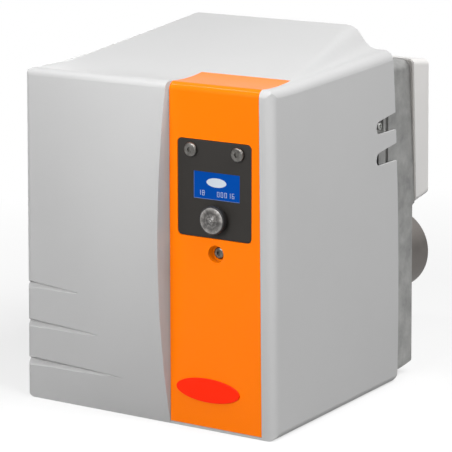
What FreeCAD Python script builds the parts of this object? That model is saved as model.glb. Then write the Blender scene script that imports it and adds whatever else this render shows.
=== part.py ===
"""Forced-draught oil burner: plastic hood, cast fan housing, air box and blast tube.

The row frame has its origin where the axis of the blast tube meets the boiler door,
+Y towards the boiler, +X to the right of someone who faces the hood, +Z up.
"""
import FreeCAD, Part
import Sketcher
import math
import os
from types import SimpleNamespace
from FreeCAD import Placement, Rotation, Vector

# Driving dimensions in millimetres, angles in degrees.
SIZES = {
    # place of the parts about the tube axis
    "axis_from_right": 120.0,
    "axis_height": 86.0,
    "front_to_door": 330.0,
    # hood shell
    "hood_width": 297.0,
    "hood_height": 339.5,
    "hood_depth": 249.5,
    "hood_top_depth": 237.5,
    "hood_draft": 4.4,
    "hood_skirt": 3.0,
    "hood_wall": 3.0,
    "hump_start": 45.0,
    "hump_rise": 32.0,
    "shoulder_rise": 9.5,
    "shoulder_radius": 8.0,
    "hump_inset": 56.0,
    "top_edge_radius": 8.0,
    "panel_edge_radius": 8.0,
    "panel_edge_drop": 8.0,
    "panel_edge_lift": 2.4,
    "corner_radius": 9.0,
    "left_corner_radius": 3.5,
    "foot_radius": 8.0,
    "rear_corner_radius": 12.0,
    "strip_width": 105.5,
    "panel_bulge": 21.5,
    "notch_length": 41.0,
    "notch_height": 14.0,
    "notch_flare": 6.5,
    "notch_low": 234.0,
    "notch_pitch": 32.5,
    "groove_depth": 6.0,
    "groove_above": 3.5,
    "groove_below": 7.0,
    "groove_backing": 8.5,
    "groove_low": 37.0,
    "groove_pitch": 40.3,
    "groove_length": 77.0,
    "groove_step": 25.2,
    "hose_gap_width": 70.0,
    "hose_gap_depth": 60.0,
    # orange strip, badge and hood screw
    "strip_margin": 15.5,
    "strip_thickness": 2.5,
    "strip_depth": 58.0,
    "seam": 0.4,
    "badge_width": 73.0,
    "badge_height": 24.0,
    "badge_thickness": 1.6,
    "badge_rounding": 0.6,
    "badge_rise": 37.5,
    "badge_inset": 76.5,
    "hood_screw_rise": 175.5,
    "hood_screw_recess": 8.8,
    "hood_screw_depth": 9.0,
    "cup_wall": 1.5,
    "cup_floor": 1.2,
    "hood_screw_head": 6.0,
    "hood_screw_shank": 3.0,
    # display fascia
    "fascia_width": 83.5,
    "fascia_height": 95.4,
    "fascia_inset": 27.6,
    "fascia_rise": 190.7,
    "fascia_thickness": 4.0,
    "fascia_radius": 4.5,
    "window_width": 52.8,
    "window_height": 26.9,
    "window_rise": 37.8,
    "window_inset": 13.0,
    "display_recess": 1.0,
    "button_radius": 10.4,
    "button_rise": 19.3,
    "button_inset": 39.9,
    "button_proud": 7.0,
    "button_lens": 2.8,
    "collar_radius": 12.75,
    "collar_proud": 5.0,
    "button_stem": 5.0,
    "fascia_screw_span": 53.2,
    "fascia_screw_drop": 10.2,
    "fascia_screw_inset": 14.5,
    "fascia_screw_head": 7.0,
    "fascia_screw_rise": 3.4,
    "fascia_screw_shank": 2.5,
    # control unit and its shelf
    "control_depth": 66.0,
    "control_side_gap": 1.6,
    "shelf_thickness": 2.0,
    "socket_width": 32.0,
    "socket_depth": 50.0,
    "socket_height": 25.0,
    # housing casting
    "housing_gap": 1.0,
    "housing_foot": 3.0,
    "housing_height": 334.0,
    "housing_front": 116.0,
    "rim_groove_front": 101.5,
    "rim_groove_width": 6.0,
    "rim_groove_depth": 2.5,
    "rim_screw_depth": 114.0,
    "rim_screw_height": 187.5,
    "housing_rear": 42.0,
    "housing_wall": 4.0,
    "rear_wall": 6.0,
    "scroll_floor": 54.0,
    "housing_radius": 10.0,
    "foot_rise": 7.0,
    "foot_run": 34.0,
    "seat_low": 95.0,
    "seat_low_depth": 5.0,
    "seat_high_depth": 7.0,
    # fan, scroll and base plate
    "fan_left": 77.0,
    "fan_up": 139.0,
    "fan_radius": 60.0,
    "fan_width": 48.0,
    "fan_front": 106.0,
    "blade_count": 24.0,
    "blade_chord": 12.0,
    "scroll_gap": 4.0,
    "scroll_growth": 46.0,
    "scroll_wall": 4.0,
    "eye_radius": 40.0,
    "chamber_radius": 54.0,
    "plate_front": 122.0,
    "plate_thickness": 6.0,
    "access_radius": 50.0,
    # motor, pump and drive
    "motor_radius": 46.0,
    "motor_length": 95.0,
    "motor_flange": 70.0,
    "cover_thickness": 5.0,
    "shaft_radius": 6.0,
    "neck_radius": 20.0,
    "neck_length": 22.0,
    "pump_width": 58.0,
    "pump_height": 58.0,
    "pump_length": 50.0,
    "port_radius": 6.6,
    "port_depth": 12.0,
    "port_spacing": 30.0,
    "pipe_radius": 2.5,
    "bend_radius": 14.0,
    # blast tube and mounting flange
    "tube_radius": 46.0,
    "tube_wall": 1.5,
    "tube_step": 1.0,
    "tube_reach": 128.0,
    "tube_inside": 60.0,
    "tube_collar": 60.0,
    "flange_radius": 85.0,
    "flange_thickness": 12.0,
    "gasket_thickness": 4.0,
    "bolt_circle": 150.0,
    "bolt_hole": 4.5,
    # nozzle assembly
    "line_radius": 6.0,
    "line_front": 190.0,
    "line_tip": 80.0,
    "line_travel": 16.0,
    "diffuser_radius": 38.0,
    "block_length": 30.0,
    # air box and flap
    "box_rear_low": 6.0,
    "box_rear_high": 11.0,
    "box_side_gap": 4.5,
    "box_side_taper": 3.0,
    "box_wall": 2.5,
    "box_taper": 7.0,
    "box_radius": 6.0,
    "seal_thickness": 1.2,
    "seal_inset": 1.5,
    "flap_right": 72.0,
    "flap_up": 149.0,
    "flap_chord": 62.0,
    "flap_thickness": 2.0,
    "flap_shaft": 4.0,
    "running_fit": 0.05,
    "clearance": 0.3,
}

doc = FreeCAD.newDocument("oil_burner")
sheet = doc.addObject("Spreadsheet::Sheet", "sizes")
for row, (alias, number) in enumerate(SIZES.items(), start=1):
    sheet.set(f"A{row}", alias)
    sheet.set(f"B{row}", str(number))
    sheet.setAlias(f"B{row}", alias)
doc.recompute()


class Size:
    """A number that remembers the sheet expression it comes from."""

    def __init__(self, value, text):
        self.value = value
        self.text = text

    def __add__(self, other):
        return joined(self, "+", other)

    def __radd__(self, other):
        return joined(other, "+", self)

    def __sub__(self, other):
        return joined(self, "-", other)

    def __rsub__(self, other):
        return joined(other, "-", self)

    def __mul__(self, other):
        return joined(self, "*", other)

    def __rmul__(self, other):
        return joined(other, "*", self)

    def __truediv__(self, other):
        return joined(self, "/", other)

    def __neg__(self):
        return joined(0.0, "-", self)


def as_size(number):
    """A plain number becomes a Size whose expression is the number itself."""
    if isinstance(number, Size):
        return number
    return Size(float(number), f"({float(number):.9f})")


def joined(left, sign, right):
    """Two sizes joined by an arithmetic sign, in value and in expression."""
    left = as_size(left)
    right = as_size(right)
    if sign == "+":
        value = left.value + right.value
    elif sign == "-":
        value = left.value - right.value
    elif sign == "*":
        value = left.value * right.value
    else:
        value = left.value / right.value
    return Size(value, f"({left.text} {sign} {right.text})")


# d holds the sizes with their expressions, mm the plain numbers read back from the sheet.
d = SimpleNamespace(**{name: Size(float(sheet.get(name)), f"sizes.{name}") for name in SIZES})
mm = SimpleNamespace(**{name: float(sheet.get(name)) for name in SIZES})

ALONG = {"Z": Rotation(), "Y": Rotation(Vector(1, 0, 0), -90), "X": Rotation(Vector(0, 1, 0), 90)}
NODES = []

# Reference planes of the row frame.
right = d.axis_from_right
left = right - d.hood_width
middle = right - d.hood_width / 2
front = -d.front_to_door
foot = -d.axis_height
fan_x = -d.fan_left
fan_z = d.fan_up


def place(thing, x, y, z, turn=Rotation()):
    """Set a piece down at (x, y, z), with the place bound to the sheet."""
    at = [as_size(x), as_size(y), as_size(z)]
    thing.Placement = Placement(Vector(at[0].value, at[1].value, at[2].value), turn)
    for letter, size in zip("xyz", at):
        thing.setExpression(f"Placement.Base.{letter}", size.text)


def bind(thing, path, size):
    """Bind one property of a piece to the sheet."""
    thing.setExpression(path, as_size(size).text)


def box(name, x, y, z, length, width, height):
    """A box from its lowest corner, along X, Y and Z."""
    thing = doc.addObject("Part::Box", name)
    bind(thing, "Length", length)
    bind(thing, "Width", width)
    bind(thing, "Height", height)
    place(thing, x, y, z)
    return thing


def cylinder(name, x, y, z, radius, length, along="Y"):
    """A cylinder from the centre of its lower end, towards the named axis."""
    thing = doc.addObject("Part::Cylinder", name)
    bind(thing, "Radius", radius)
    bind(thing, "Height", length)
    place(thing, x, y, z, ALONG[along])
    return thing


def fuse(name, *pieces):
    """Several pieces joined to one."""
    thing = doc.addObject("Part::MultiFuse", name)
    thing.Shapes = list(pieces)
    return thing


def cut(name, base, *tools):
    """A piece with one or more tools taken out of it."""
    thing = doc.addObject("Part::Cut", name)
    thing.Base = base
    thing.Tool = tools[0] if len(tools) == 1 else fuse(f"{name}_tools", *tools)
    return thing


def round_edges(name, base, radius, choose):
    """The chosen edges of a piece rounded."""
    doc.recompute()
    thing = doc.addObject("Part::Fillet", name)
    thing.Base = base
    edges = [number for number, edge in enumerate(base.Shape.Edges, start=1) if choose(edge)]
    thing.Edges = [(number, as_size(radius).value, as_size(radius).value) for number in edges]
    return thing


def shaped(name, shape, x=0.0, y=0.0, z=0.0):
    """A piece whose surface neither primitives nor sketches give."""
    thing = doc.addObject("Part::Feature", name)
    thing.Shape = shape
    place(thing, x, y, z)
    return thing


def node(thing, name=None):
    """Register a finished sub-part under the name of its file."""
    if name:
        thing.Label = name
    NODES.append(thing)
    return thing


def runs_along(letter):
    """Chooser of straight edges parallel to an axis."""
    def choose(edge):
        if edge.Curve.TypeId != "Part::GeomLine":
            return False
        return abs(getattr(edge.tangentAt(edge.FirstParameter), letter)) > 0.999
    return choose


class Body:
    """A PartDesign body drawn in its own frame and set down in the row frame."""

    def __init__(self, name, x=0.0, y=0.0, z=0.0, turn=Rotation()):
        self.name = name
        self.body = doc.addObject("PartDesign::Body", name)
        self.parts = 0
        place(self.body, x, y, z, turn)

    def new(self, kind, title):
        self.parts += 1
        return self.body.newObject(kind, f"{self.name}_{title}_{self.parts}")

    def sketch(self, role, lift=0.0):
        """An empty sketch on an origin plane, lifted along the plane's normal."""
        planes = [plane for plane in self.body.Origin.OriginFeatures if plane.Role == role]
        sketch = self.new("Sketcher::SketchObject", "sketch")
        sketch.AttachmentSupport = [(planes[0], "")]
        sketch.MapMode = "FlatFace"
        bind(sketch, "AttachmentOffset.Base.z", lift)
        return sketch

    def outline(self, sketch, corners):
        """A closed outline of straight lines, each corner bound to the sheet."""
        corners = [(as_size(x), as_size(y)) for x, y in corners]
        points = [Vector(x.value, y.value, 0) for x, y in corners]
        lines = []
        for number, point in enumerate(points):
            lines.append(sketch.addGeometry(Part.LineSegment(point, points[(number + 1) % len(points)])))
        for number, line in enumerate(lines):
            follower = lines[(number + 1) % len(lines)]
            sketch.addConstraint(Sketcher.Constraint("Coincident", line, 2, follower, 1))
        for line, (x, y) in zip(lines, corners):
            for kind, size in (("DistanceX", x), ("DistanceY", y)):
                index = sketch.addConstraint(Sketcher.Constraint(kind, -1, 1, line, 1, size.value))
                sketch.setExpression(f"Constraints[{index}]", size.text)

    def circle(self, sketch, x, y, radius):
        """A circle with its centre and radius bound to the sheet."""
        x, y, radius = as_size(x), as_size(y), as_size(radius)
        ring = sketch.addGeometry(Part.Circle(Vector(x.value, y.value, 0), Vector(0, 0, 1), radius.value))
        for constraint, size in (
            (Sketcher.Constraint("DistanceX", -1, 1, ring, 3, x.value), x),
            (Sketcher.Constraint("DistanceY", -1, 1, ring, 3, y.value), y),
            (Sketcher.Constraint("Radius", ring, radius.value), radius),
        ):
            index = sketch.addConstraint(constraint)
            sketch.setExpression(f"Constraints[{index}]", size.text)

    def pad(self, sketch, length, reverse=True, taper=0.0):
        """Material along the sketch's normal; reversed, a sketch on XZ grows towards +Y."""
        feature = self.new("PartDesign::Pad", "pad")
        feature.Profile = sketch
        bind(feature, "Length", length)
        feature.Reversed = reverse
        if as_size(taper).value:
            bind(feature, "TaperAngle", taper)
        return feature

    def pocket(self, sketch, length, reverse=False):
        """A recess; a sketch on XZ cuts towards +Y."""
        feature = self.new("PartDesign::Pocket", "pocket")
        feature.Profile = sketch
        bind(feature, "Length", length)
        feature.Reversed = reverse
        return feature

    def turned(self, corners):
        """A turned piece: corners are (radius, distance along +Y)."""
        sketch = self.sketch("XY_Plane")
        self.outline(sketch, corners)
        feature = self.new("PartDesign::Revolution", "turning")
        feature.Profile = sketch
        feature.ReferenceAxis = (sketch, ["V_Axis"])
        feature.Angle = 360.0
        return feature

    def fillet(self, radius, choose, kind="Fillet"):
        """Round, or chamfer, the chosen edges of what is there so far."""
        doc.recompute()
        tip = self.body.Tip
        names = [f"Edge{number}" for number, edge in enumerate(tip.Shape.Edges, start=1) if choose(edge)]
        feature = self.new(f"PartDesign::{kind}", kind.lower())
        feature.Base = (tip, names)
        bind(feature, "Radius" if kind == "Fillet" else "Size", radius)
        return feature

    def around(self, feature, count):
        """Copies of a feature spaced evenly about the body's own Y axis."""
        doc.recompute()
        axis = [line for line in self.body.Origin.OriginFeatures if line.Role == "Y_Axis"][0]
        pattern = self.new("PartDesign::PolarPattern", "pattern")
        pattern.Originals = [feature]
        pattern.Axis = (axis, [""])
        pattern.Angle = 360.0
        bind(pattern, "Occurrences", count)
        self.body.Tip = pattern
        return pattern

    def done(self):
        """Hand the body over as a finished sub-part."""
        return node(self.body)


# Hood: one smooth loft for sides and top, met by a flat front, a bulged left panel and
# rounded upright corners. Its frame has x from the middle, y from the front, z from the foot.
PANEL_WIDTH = mm.hood_width - mm.strip_margin - mm.strip_width
RISE_POWER = 1.05
TILT = 0.05
OVERRUN = 40.0


def line(*points):
    return Part.makeLine(Vector(*points[0]), Vector(*points[1]))


def arc(start, through, end):
    return Part.Arc(Vector(*start), Vector(*through), Vector(*end)).toShape()


def prism(points, direction):
    """A solid from a closed outline of straight lines, pushed along a direction."""
    corners = [Vector(*point) for point in points]
    return Part.Face(Part.makePolygon(corners + corners[:1])).extrude(Vector(*direction))


def hood_rise(depth):
    """Share of the rear rise that the top has reached at a depth behind the front."""
    run = (depth - mm.hump_start) / (mm.hood_top_depth - mm.hump_start)
    return max(run, 0.0) ** RISE_POWER


def hood_side(z, inset):
    """Half width of the hood at a height: the sides lean in towards the top."""
    return mm.hood_width / 2 - mm.hood_draft * z / mm.hood_height - inset


def hood_section(depth, inset):
    """Closed cross-section: foot, side, rounded shoulder, S-shaped flank and raised top."""
    share = hood_rise(depth)
    low = inset - mm.hood_skirt
    shoulder = mm.hood_height + mm.shoulder_rise * share - inset
    top = mm.hood_height + mm.hump_rise * share - inset
    bend = math.sqrt(0.5)
    foot_round = max(mm.foot_radius - inset, 2.0)
    round_off = mm.shoulder_radius + 2.7 * share
    ledge = round_off + 1.0 + 5.3 * share - 0.4 * inset
    crest = ledge + 6.0 + (mm.hump_inset - mm.shoulder_radius - 16.0) * share
    round_off = max(round_off - inset, 2.0)
    edge = hood_side(shoulder, inset)

    def half(sign):
        foot_x = hood_side(low, inset)
        points = {
            "foot": (sign * (foot_x - foot_round), depth, low),
            "foot_bend": (sign * (foot_x - foot_round * (1 - bend)), depth, low + foot_round * (1 - bend)),
            "side_low": (sign * hood_side(low + foot_round, inset), depth, low + foot_round),
            "side_high": (sign * hood_side(shoulder - round_off, inset), depth, shoulder - round_off),
            "bend": (sign * (edge - round_off * (1 - bend)), depth, shoulder - round_off * (1 - bend)),
            "shoulder": (sign * (edge - round_off), depth, shoulder),
            "ledge": (sign * (edge - ledge), depth, shoulder),
            "crest": (sign * (edge - crest), depth, top),
        }
        return SimpleNamespace(**points)

    def flank(start, end):
        pull = 0.55 * (end[0] - start[0])
        poles = [Vector(*start), Vector(start[0] + pull, depth, start[2])]
        poles += [Vector(end[0] - pull, depth, end[2]), Vector(*end)]
        curve = Part.BezierCurve()
        curve.setPoles(poles)
        return curve.toShape()

    r, m = half(1), half(-1)
    return Part.Wire([
        line(m.foot, r.foot), arc(r.foot, r.foot_bend, r.side_low), line(r.side_low, r.side_high),
        arc(r.side_high, r.bend, r.shoulder), line(r.shoulder, r.ledge), flank(r.ledge, r.crest),
        line(r.crest, m.crest), flank(m.crest, m.ledge), line(m.ledge, m.shoulder),
        arc(m.shoulder, m.bend, m.side_high), line(m.side_high, m.side_low),
        arc(m.side_low, m.foot_bend, m.foot),
    ])


def hood_tunnel(inset):
    """Sides, foot and top of the hood as one solid, longer than the hood at both ends."""
    rear = mm.hood_depth + 15.0
    depths = [-OVERRUN, 5.0, mm.hump_start, 0.5 * (mm.hump_start + 115.0), 140.0, 200.0, rear]
    return Part.makeLoft([hood_section(depth, inset) for depth in depths], True, False)


def panel_swell(share):
    """How far the left panel has swollen out, from its left edge to the strip."""
    return max(1.3 * share - 0.3 * share * share, 0.01)


def front_profile(x, inset, swell):
    """Upright profile of the left panel at one place: belly, arris and rounding to the top."""
    sag = mm.panel_bulge * swell
    radius = max(mm.panel_edge_radius - inset, 2.0)
    drop = (mm.panel_edge_drop - mm.panel_edge_lift * swell) * radius / mm.panel_edge_radius
    top = mm.hood_height - inset + TILT
    crown = inset - 0.3 * sag
    reach = math.sqrt(drop * (2 * radius - drop))
    halfway = math.acos(1 - drop / radius) / 2
    middle_y = crown + reach - radius * math.sin(halfway)
    middle_z = top - radius * (1 - math.cos(halfway))
    far = mm.hood_depth + OVERRUN
    belly = (x, inset - sag, 0.53 * mm.hood_height)
    return Part.Wire([
        line((x, inset, -OVERRUN), (x, inset, -mm.hood_skirt)),
        arc((x, inset, -mm.hood_skirt), belly, (x, crown, top - drop)),
        arc((x, crown, top - drop), (x, middle_y, middle_z), (x, crown + reach, top)),
        line((x, crown + reach, top), (x, far, top + far)),
        line((x, far, top + far), (x, far, -OVERRUN)), line((x, far, -OVERRUN), (x, inset, -OVERRUN)),
    ])


def hood_front(inset):
    """The bulged left panel joined to the flat right part of the front."""
    edge = PANEL_WIDTH - mm.hood_width / 2
    start = -mm.hood_width / 2
    profiles = []
    for share in (-0.08, 0.0, 0.3, 0.65, 1.0):
        x = start + share * (edge - inset - start)
        profiles.append(front_profile(x, inset, panel_swell(share)))
    panel = Part.makeLoft(profiles, True, False)
    flat_radius = max(mm.top_edge_radius - inset, 2.0)
    top = mm.hood_height - inset + TILT
    bend = flat_radius * (1 - math.sqrt(0.5))
    far = mm.hood_depth + OVERRUN
    x = edge - inset
    flat = Part.Face(Part.Wire([
        line((x, inset, -OVERRUN), (x, inset, top - flat_radius)),
        arc((x, inset, top - flat_radius), (x, inset + bend, top - bend), (x, inset + flat_radius, top)),
        line((x, inset + flat_radius, top), (x, far, top + far)),
        line((x, far, top + far), (x, far, -OVERRUN)), line((x, far, -OVERRUN), (x, inset, -OVERRUN)),
    ])).extrude(Vector(mm.hood_width, 0, 0))
    return panel.fuse(flat)


def hood_plan(inset):
    """Upright walls with the two rounded front corners, leaning in with the sides."""
    edge = PANEL_WIDTH - mm.hood_width / 2
    far = mm.hood_depth + OVERRUN

    def corner(side, half, radius, z):
        """Rounded upright corner of one side, from the side wall to the front."""
        bend = radius * (1 - math.sqrt(0.5))
        return arc((side * half, radius + inset, z), (side * (half - bend), bend + inset, z),
                   (side * (half - radius), inset, z))

    def wire(z):
        half = hood_side(z, inset) - 0.02
        left_radius = max(mm.left_corner_radius - inset, 1.0)
        right_radius = max(mm.corner_radius - inset, 2.0)
        return Part.Wire([
            line((-half, far, z), (-half, left_radius + inset, z)),
            corner(-1, half, left_radius, z),
            line((left_radius - half, inset, z), (edge, -2 * OVERRUN, z)),
            line((edge, -2 * OVERRUN, z), (half - right_radius, inset, z)),
            corner(1, half, right_radius, z),
            line((half, right_radius + inset, z), (half, far, z)), line((half, far, z), (-half, far, z)),
        ])

    return Part.makeLoft([wire(-OVERRUN), wire(mm.hood_height + 3 * OVERRUN)], True, True)


def hood_form(inset):
    """Outer form of the hood, or the same form a wall's thickness further in."""
    form = hood_tunnel(inset).common(hood_front(inset)).common(hood_plan(inset))
    if form.Solids:
        return form
    return hood_plan(inset).common(hood_front(inset)).common(hood_tunnel(inset))


def hood_rear():
    """Everything in front of the hood's rear edge, which leans forward towards the top."""
    half = mm.hood_width
    radius = mm.rear_corner_radius
    bend = radius * (1 - math.sqrt(0.5))
    low = -mm.hood_skirt
    deep = mm.hood_depth
    high = mm.hood_height
    top = mm.hood_top_depth
    outline = Part.Wire([
        line((-half, -2 * OVERRUN, -OVERRUN), (-half, deep - radius, -OVERRUN)),
        line((-half, deep - radius, -OVERRUN), (-half, deep - radius, low)),
        arc((-half, deep - radius, low), (-half, deep - bend, low + bend), (-half, deep, low + radius)),
        arc((-half, deep, low + radius), (-half, deep, 0.48 * high), (-half, top, high)),
        line((-half, top, high), (-half, top, high + 3 * OVERRUN)),
        line((-half, top, high + 3 * OVERRUN), (-half, -2 * OVERRUN, high + 3 * OVERRUN)),
        line((-half, -2 * OVERRUN, high + 3 * OVERRUN), (-half, -2 * OVERRUN, -OVERRUN)),
    ])
    return Part.Face(outline).extrude(Vector(2 * half, 0, 0))


def strip_prism(grow, depth):
    """Front outline of the orange strip, pushed back to a depth and clear of its seam."""
    x_left = PANEL_WIDTH - mm.hood_width / 2 + mm.seam - grow
    x_right = mm.hood_width / 2 - mm.strip_margin + grow
    high = mm.hood_height + OVERRUN
    lean = mm.hood_draft * high / mm.hood_height
    corners = [(x_left, -OVERRUN, -grow), (x_right, -OVERRUN, -grow)]
    corners += [(x_right - lean, -OVERRUN, high), (x_left, -OVERRUN, high)]
    return prism(corners, (0, OVERRUN + depth, 0))


def hood_notches():
    """Two flared hand notches, open to the rear edge, through both sides."""
    tools = []
    half = mm.hood_width
    radius = mm.notch_height / 2
    nose = mm.hood_top_depth + 6.0 - mm.notch_length + radius
    for number in range(2):
        low = mm.notch_low + number * mm.notch_pitch
        high = low + mm.notch_height
        tail = mm.hood_depth + 10.0
        corners = [(-half, nose, low), (-half, tail, low)]
        corners += [(-half, tail, high + mm.notch_flare), (-half, nose, high)]
        slot = prism(corners, (2 * half, 0, 0))
        end = Part.makeCylinder(radius, 2 * half, Vector(-half, nose, low + radius), Vector(1, 0, 0))
        tools += [slot, end]
    return tools


def groove_spots():
    """Height and length of the three grooves, the lowest one being the longest."""
    for number in range(3):
        yield (mm.groove_low + number * mm.groove_pitch,
               mm.groove_length + (2 - number) * mm.groove_step)


def groove_tools():
    """Three V grooves, deepest at the left edge and running out towards the strip."""
    tools = []
    start = -mm.hood_width / 2 - 4.0
    deep = mm.groove_depth
    for z, length in groove_spots():
        rise = 1 - (1 - (z + mm.hood_skirt) / (0.53 * mm.hood_height + mm.hood_skirt)) ** 2
        surface = -mm.panel_bulge * panel_swell(length / PANEL_WIDTH) * rise
        mouth = [Vector(start, -deep, z + 2 * mm.groove_above), Vector(start, deep, z),
                 Vector(start, -deep, z - 2 * mm.groove_below)]
        tip = Part.Vertex(length - mm.hood_width / 2, surface, z)
        tools.append(Part.makeLoft([Part.makePolygon(mouth + mouth[:1]), tip], True))
    return tools


def groove_ribs():
    """Thicker stretches inside the panel that back the grooves."""
    start = -mm.hood_width / 2 + mm.hood_wall
    tall = mm.groove_above + mm.groove_below + 8.0
    return [
        Part.makeBox(length, 2 * OVERRUN, tall, Vector(start, -OVERRUN, z - mm.groove_below - 4.0))
        for z, length in groove_spots()
    ]


# Sizes and places shared by several pieces.
fascia_right = right - d.fascia_inset
fascia_left = fascia_right - d.fascia_width
fascia_low = foot + d.fascia_rise
button_x = fascia_right - d.button_inset
button_z = fascia_low + d.button_rise
screw_x = fascia_right - d.fascia_screw_inset
screw_z = fascia_low + d.fascia_height - d.fascia_screw_drop
hood_screw_z = foot + d.hood_screw_rise
fascia_back = front + d.fascia_thickness
shelf_top = fascia_low - 1.7
plate_face = -d.plate_front
cover_face = plate_face - d.cover_thickness
motor_face = cover_face - d.motor_length
neck_face = motor_face - d.neck_length


def rounded_slot(name, x, y, z, length, width, height, radius):
    """A box whose four edges along Y are rounded."""
    blank = box(f"{name}_blank", x, y, z, length, width, height)
    return round_edges(name, blank, radius, runs_along("y"))


def screws(name, spots, y, head, rise, shank, length, turn=-1.0, slope=0.0):
    """Identical screws with domed socket heads; turn -1 puts the heads towards the front.

    The heads stand on a face at depth y, which leans by the slope with height.
    """
    solids = []
    for number, (x, z) in enumerate(spots):
        base = as_size(y) + as_size(z) * slope
        start = base - rise if turn < 0 else base
        top = cylinder(f"{name}_head_{number}", x, start, z, head, rise)
        dome = round_edges(
            f"{name}_dome_{number}", top, rise * 0.5,
            lambda edge: abs(edge.CenterOfMass.y - (start.value if turn < 0 else (start + rise).value)) < 0.01
            and edge.Curve.TypeId == "Part::GeomCircle",
        )
        socket = doc.addObject("Part::Prism", f"{name}_socket_{number}")
        socket.Polygon = 6
        bind(socket, "Circumradius", head * 0.42)
        bind(socket, "Height", rise * 0.55)
        place(socket, x, start - 0.01 if turn < 0 else start + rise * 0.45 + 0.01, z, ALONG["Y"])
        stem = cylinder(f"{name}_stem_{number}", x, base if turn < 0 else base - length, z, shank, length)
        solids.append(fuse(f"{name}_{number}", cut(f"{name}_driven_{number}", dome, socket), stem))
    if len(solids) == 1:
        return node(solids[0], name)
    group = doc.addObject("Part::Compound", f"{name}_set")
    group.Links = solids
    return node(group, name)


# Hood shell, orange strip, badge and hood screw: the pieces that come off together.
def build_hood():
    outer = hood_form(0.0)
    inner = hood_form(mm.hood_wall)
    seat = hood_form(mm.strip_thickness)
    backing = hood_form(mm.hood_wall + mm.strip_thickness)
    walls = outer.cut(inner)
    doubling = outer.cut(backing).common(strip_prism(4.0, mm.strip_depth + 4.0))
    ribs = inner.cut(hood_form(mm.groove_backing)).common(Part.makeCompound(groove_ribs()))
    ribs = ribs.common(Part.makeBox(PANEL_WIDTH, 2 * OVERRUN, mm.hood_height,
                                    Vector(-mm.hood_width / 2, -OVERRUN, -mm.hood_skirt)))
    walls = walls.fuse(doubling).fuse(ribs)
    recess = strip_prism(mm.seam, mm.strip_depth + mm.seam).cut(seat)
    strip = outer.cut(seat).common(strip_prism(0.0, mm.strip_depth))

    across = -(right.value - mm.hood_width / 2)
    up = mm.axis_height
    into = mm.front_to_door
    gap = 0.4
    window = Part.makeBox(
        mm.fascia_width + 2 * gap, 3 * OVERRUN, mm.fascia_height + 2 * gap,
        Vector(fascia_left.value + across - gap, -OVERRUN, fascia_low.value + up - gap),
    )
    corners = [edge for edge in window.Edges if abs(edge.tangentAt(0).y) > 0.99]
    window = window.makeFillet(mm.fascia_radius + gap, corners)
    spot = (button_x.value + across, hood_screw_z.value + up)

    def drill(radius, start, end):
        return Part.makeCylinder(radius, end - start, Vector(spot[0], start, spot[1]), Vector(0, 1, 0))

    floor = mm.hood_screw_depth
    cup = drill(mm.hood_screw_recess + mm.cup_wall, 0.5, floor + mm.cup_floor)
    boss = drill(mm.hood_screw_recess + mm.cup_wall + 2.0, 1.0, floor + mm.cup_floor + 1.5)
    bore = drill(mm.hood_screw_recess + mm.cup_wall + mm.clearance, -5.0, floor + mm.cup_floor)
    hole = drill(mm.hood_screw_shank + 0.2, 0.0, 20.0)
    hose_gap = Part.makeBox(
        mm.hose_gap_width, mm.hose_gap_depth, 2 * OVERRUN,
        Vector(-83.5, 30.0, -mm.hood_skirt - OVERRUN),
    )
    walls = walls.fuse(boss)
    tools = [recess, window, bore, hole, hose_gap] + hood_notches() + groove_tools()
    shell = walls.cut(tools).common(hood_rear())
    strip = strip.fuse(cup).cut([window, drill(mm.hood_screw_recess, -5.0, floor), hole])
    home = (middle, front, foot)
    node(shaped("hood_shell", one_solid(shell), *home))
    node(shaped("orange_strip", one_solid(strip), *home))


def one_solid(shape):
    """The largest solid of a result that should be a single one."""
    return max(shape.Solids, key=lambda solid: solid.Volume)


def build_badge():
    """Plain oval badge on the foot of the orange strip."""
    ring = doc.addObject("Part::Ellipse", "badge_outline")
    bind(ring, "MajorRadius", d.badge_width / 2)
    bind(ring, "MinorRadius", d.badge_height / 2)
    place(ring, right - d.badge_inset, front - d.badge_thickness, foot + d.badge_rise,
          Rotation(Vector(1, 0, 0), 90))
    plate = doc.addObject("Part::Extrusion", "badge_plate")
    plate.Base = ring
    plate.DirMode = "Custom"
    plate.Dir = Vector(0, 1, 0)
    plate.Solid = True
    bind(plate, "LengthFwd", d.badge_thickness)
    face = front.value - mm.badge_thickness
    rounded = round_edges("badge_rounded", plate, d.badge_rounding,
                          lambda edge: abs(edge.CenterOfMass.y - face) < 0.01)
    node(rounded, "badge")


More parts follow.
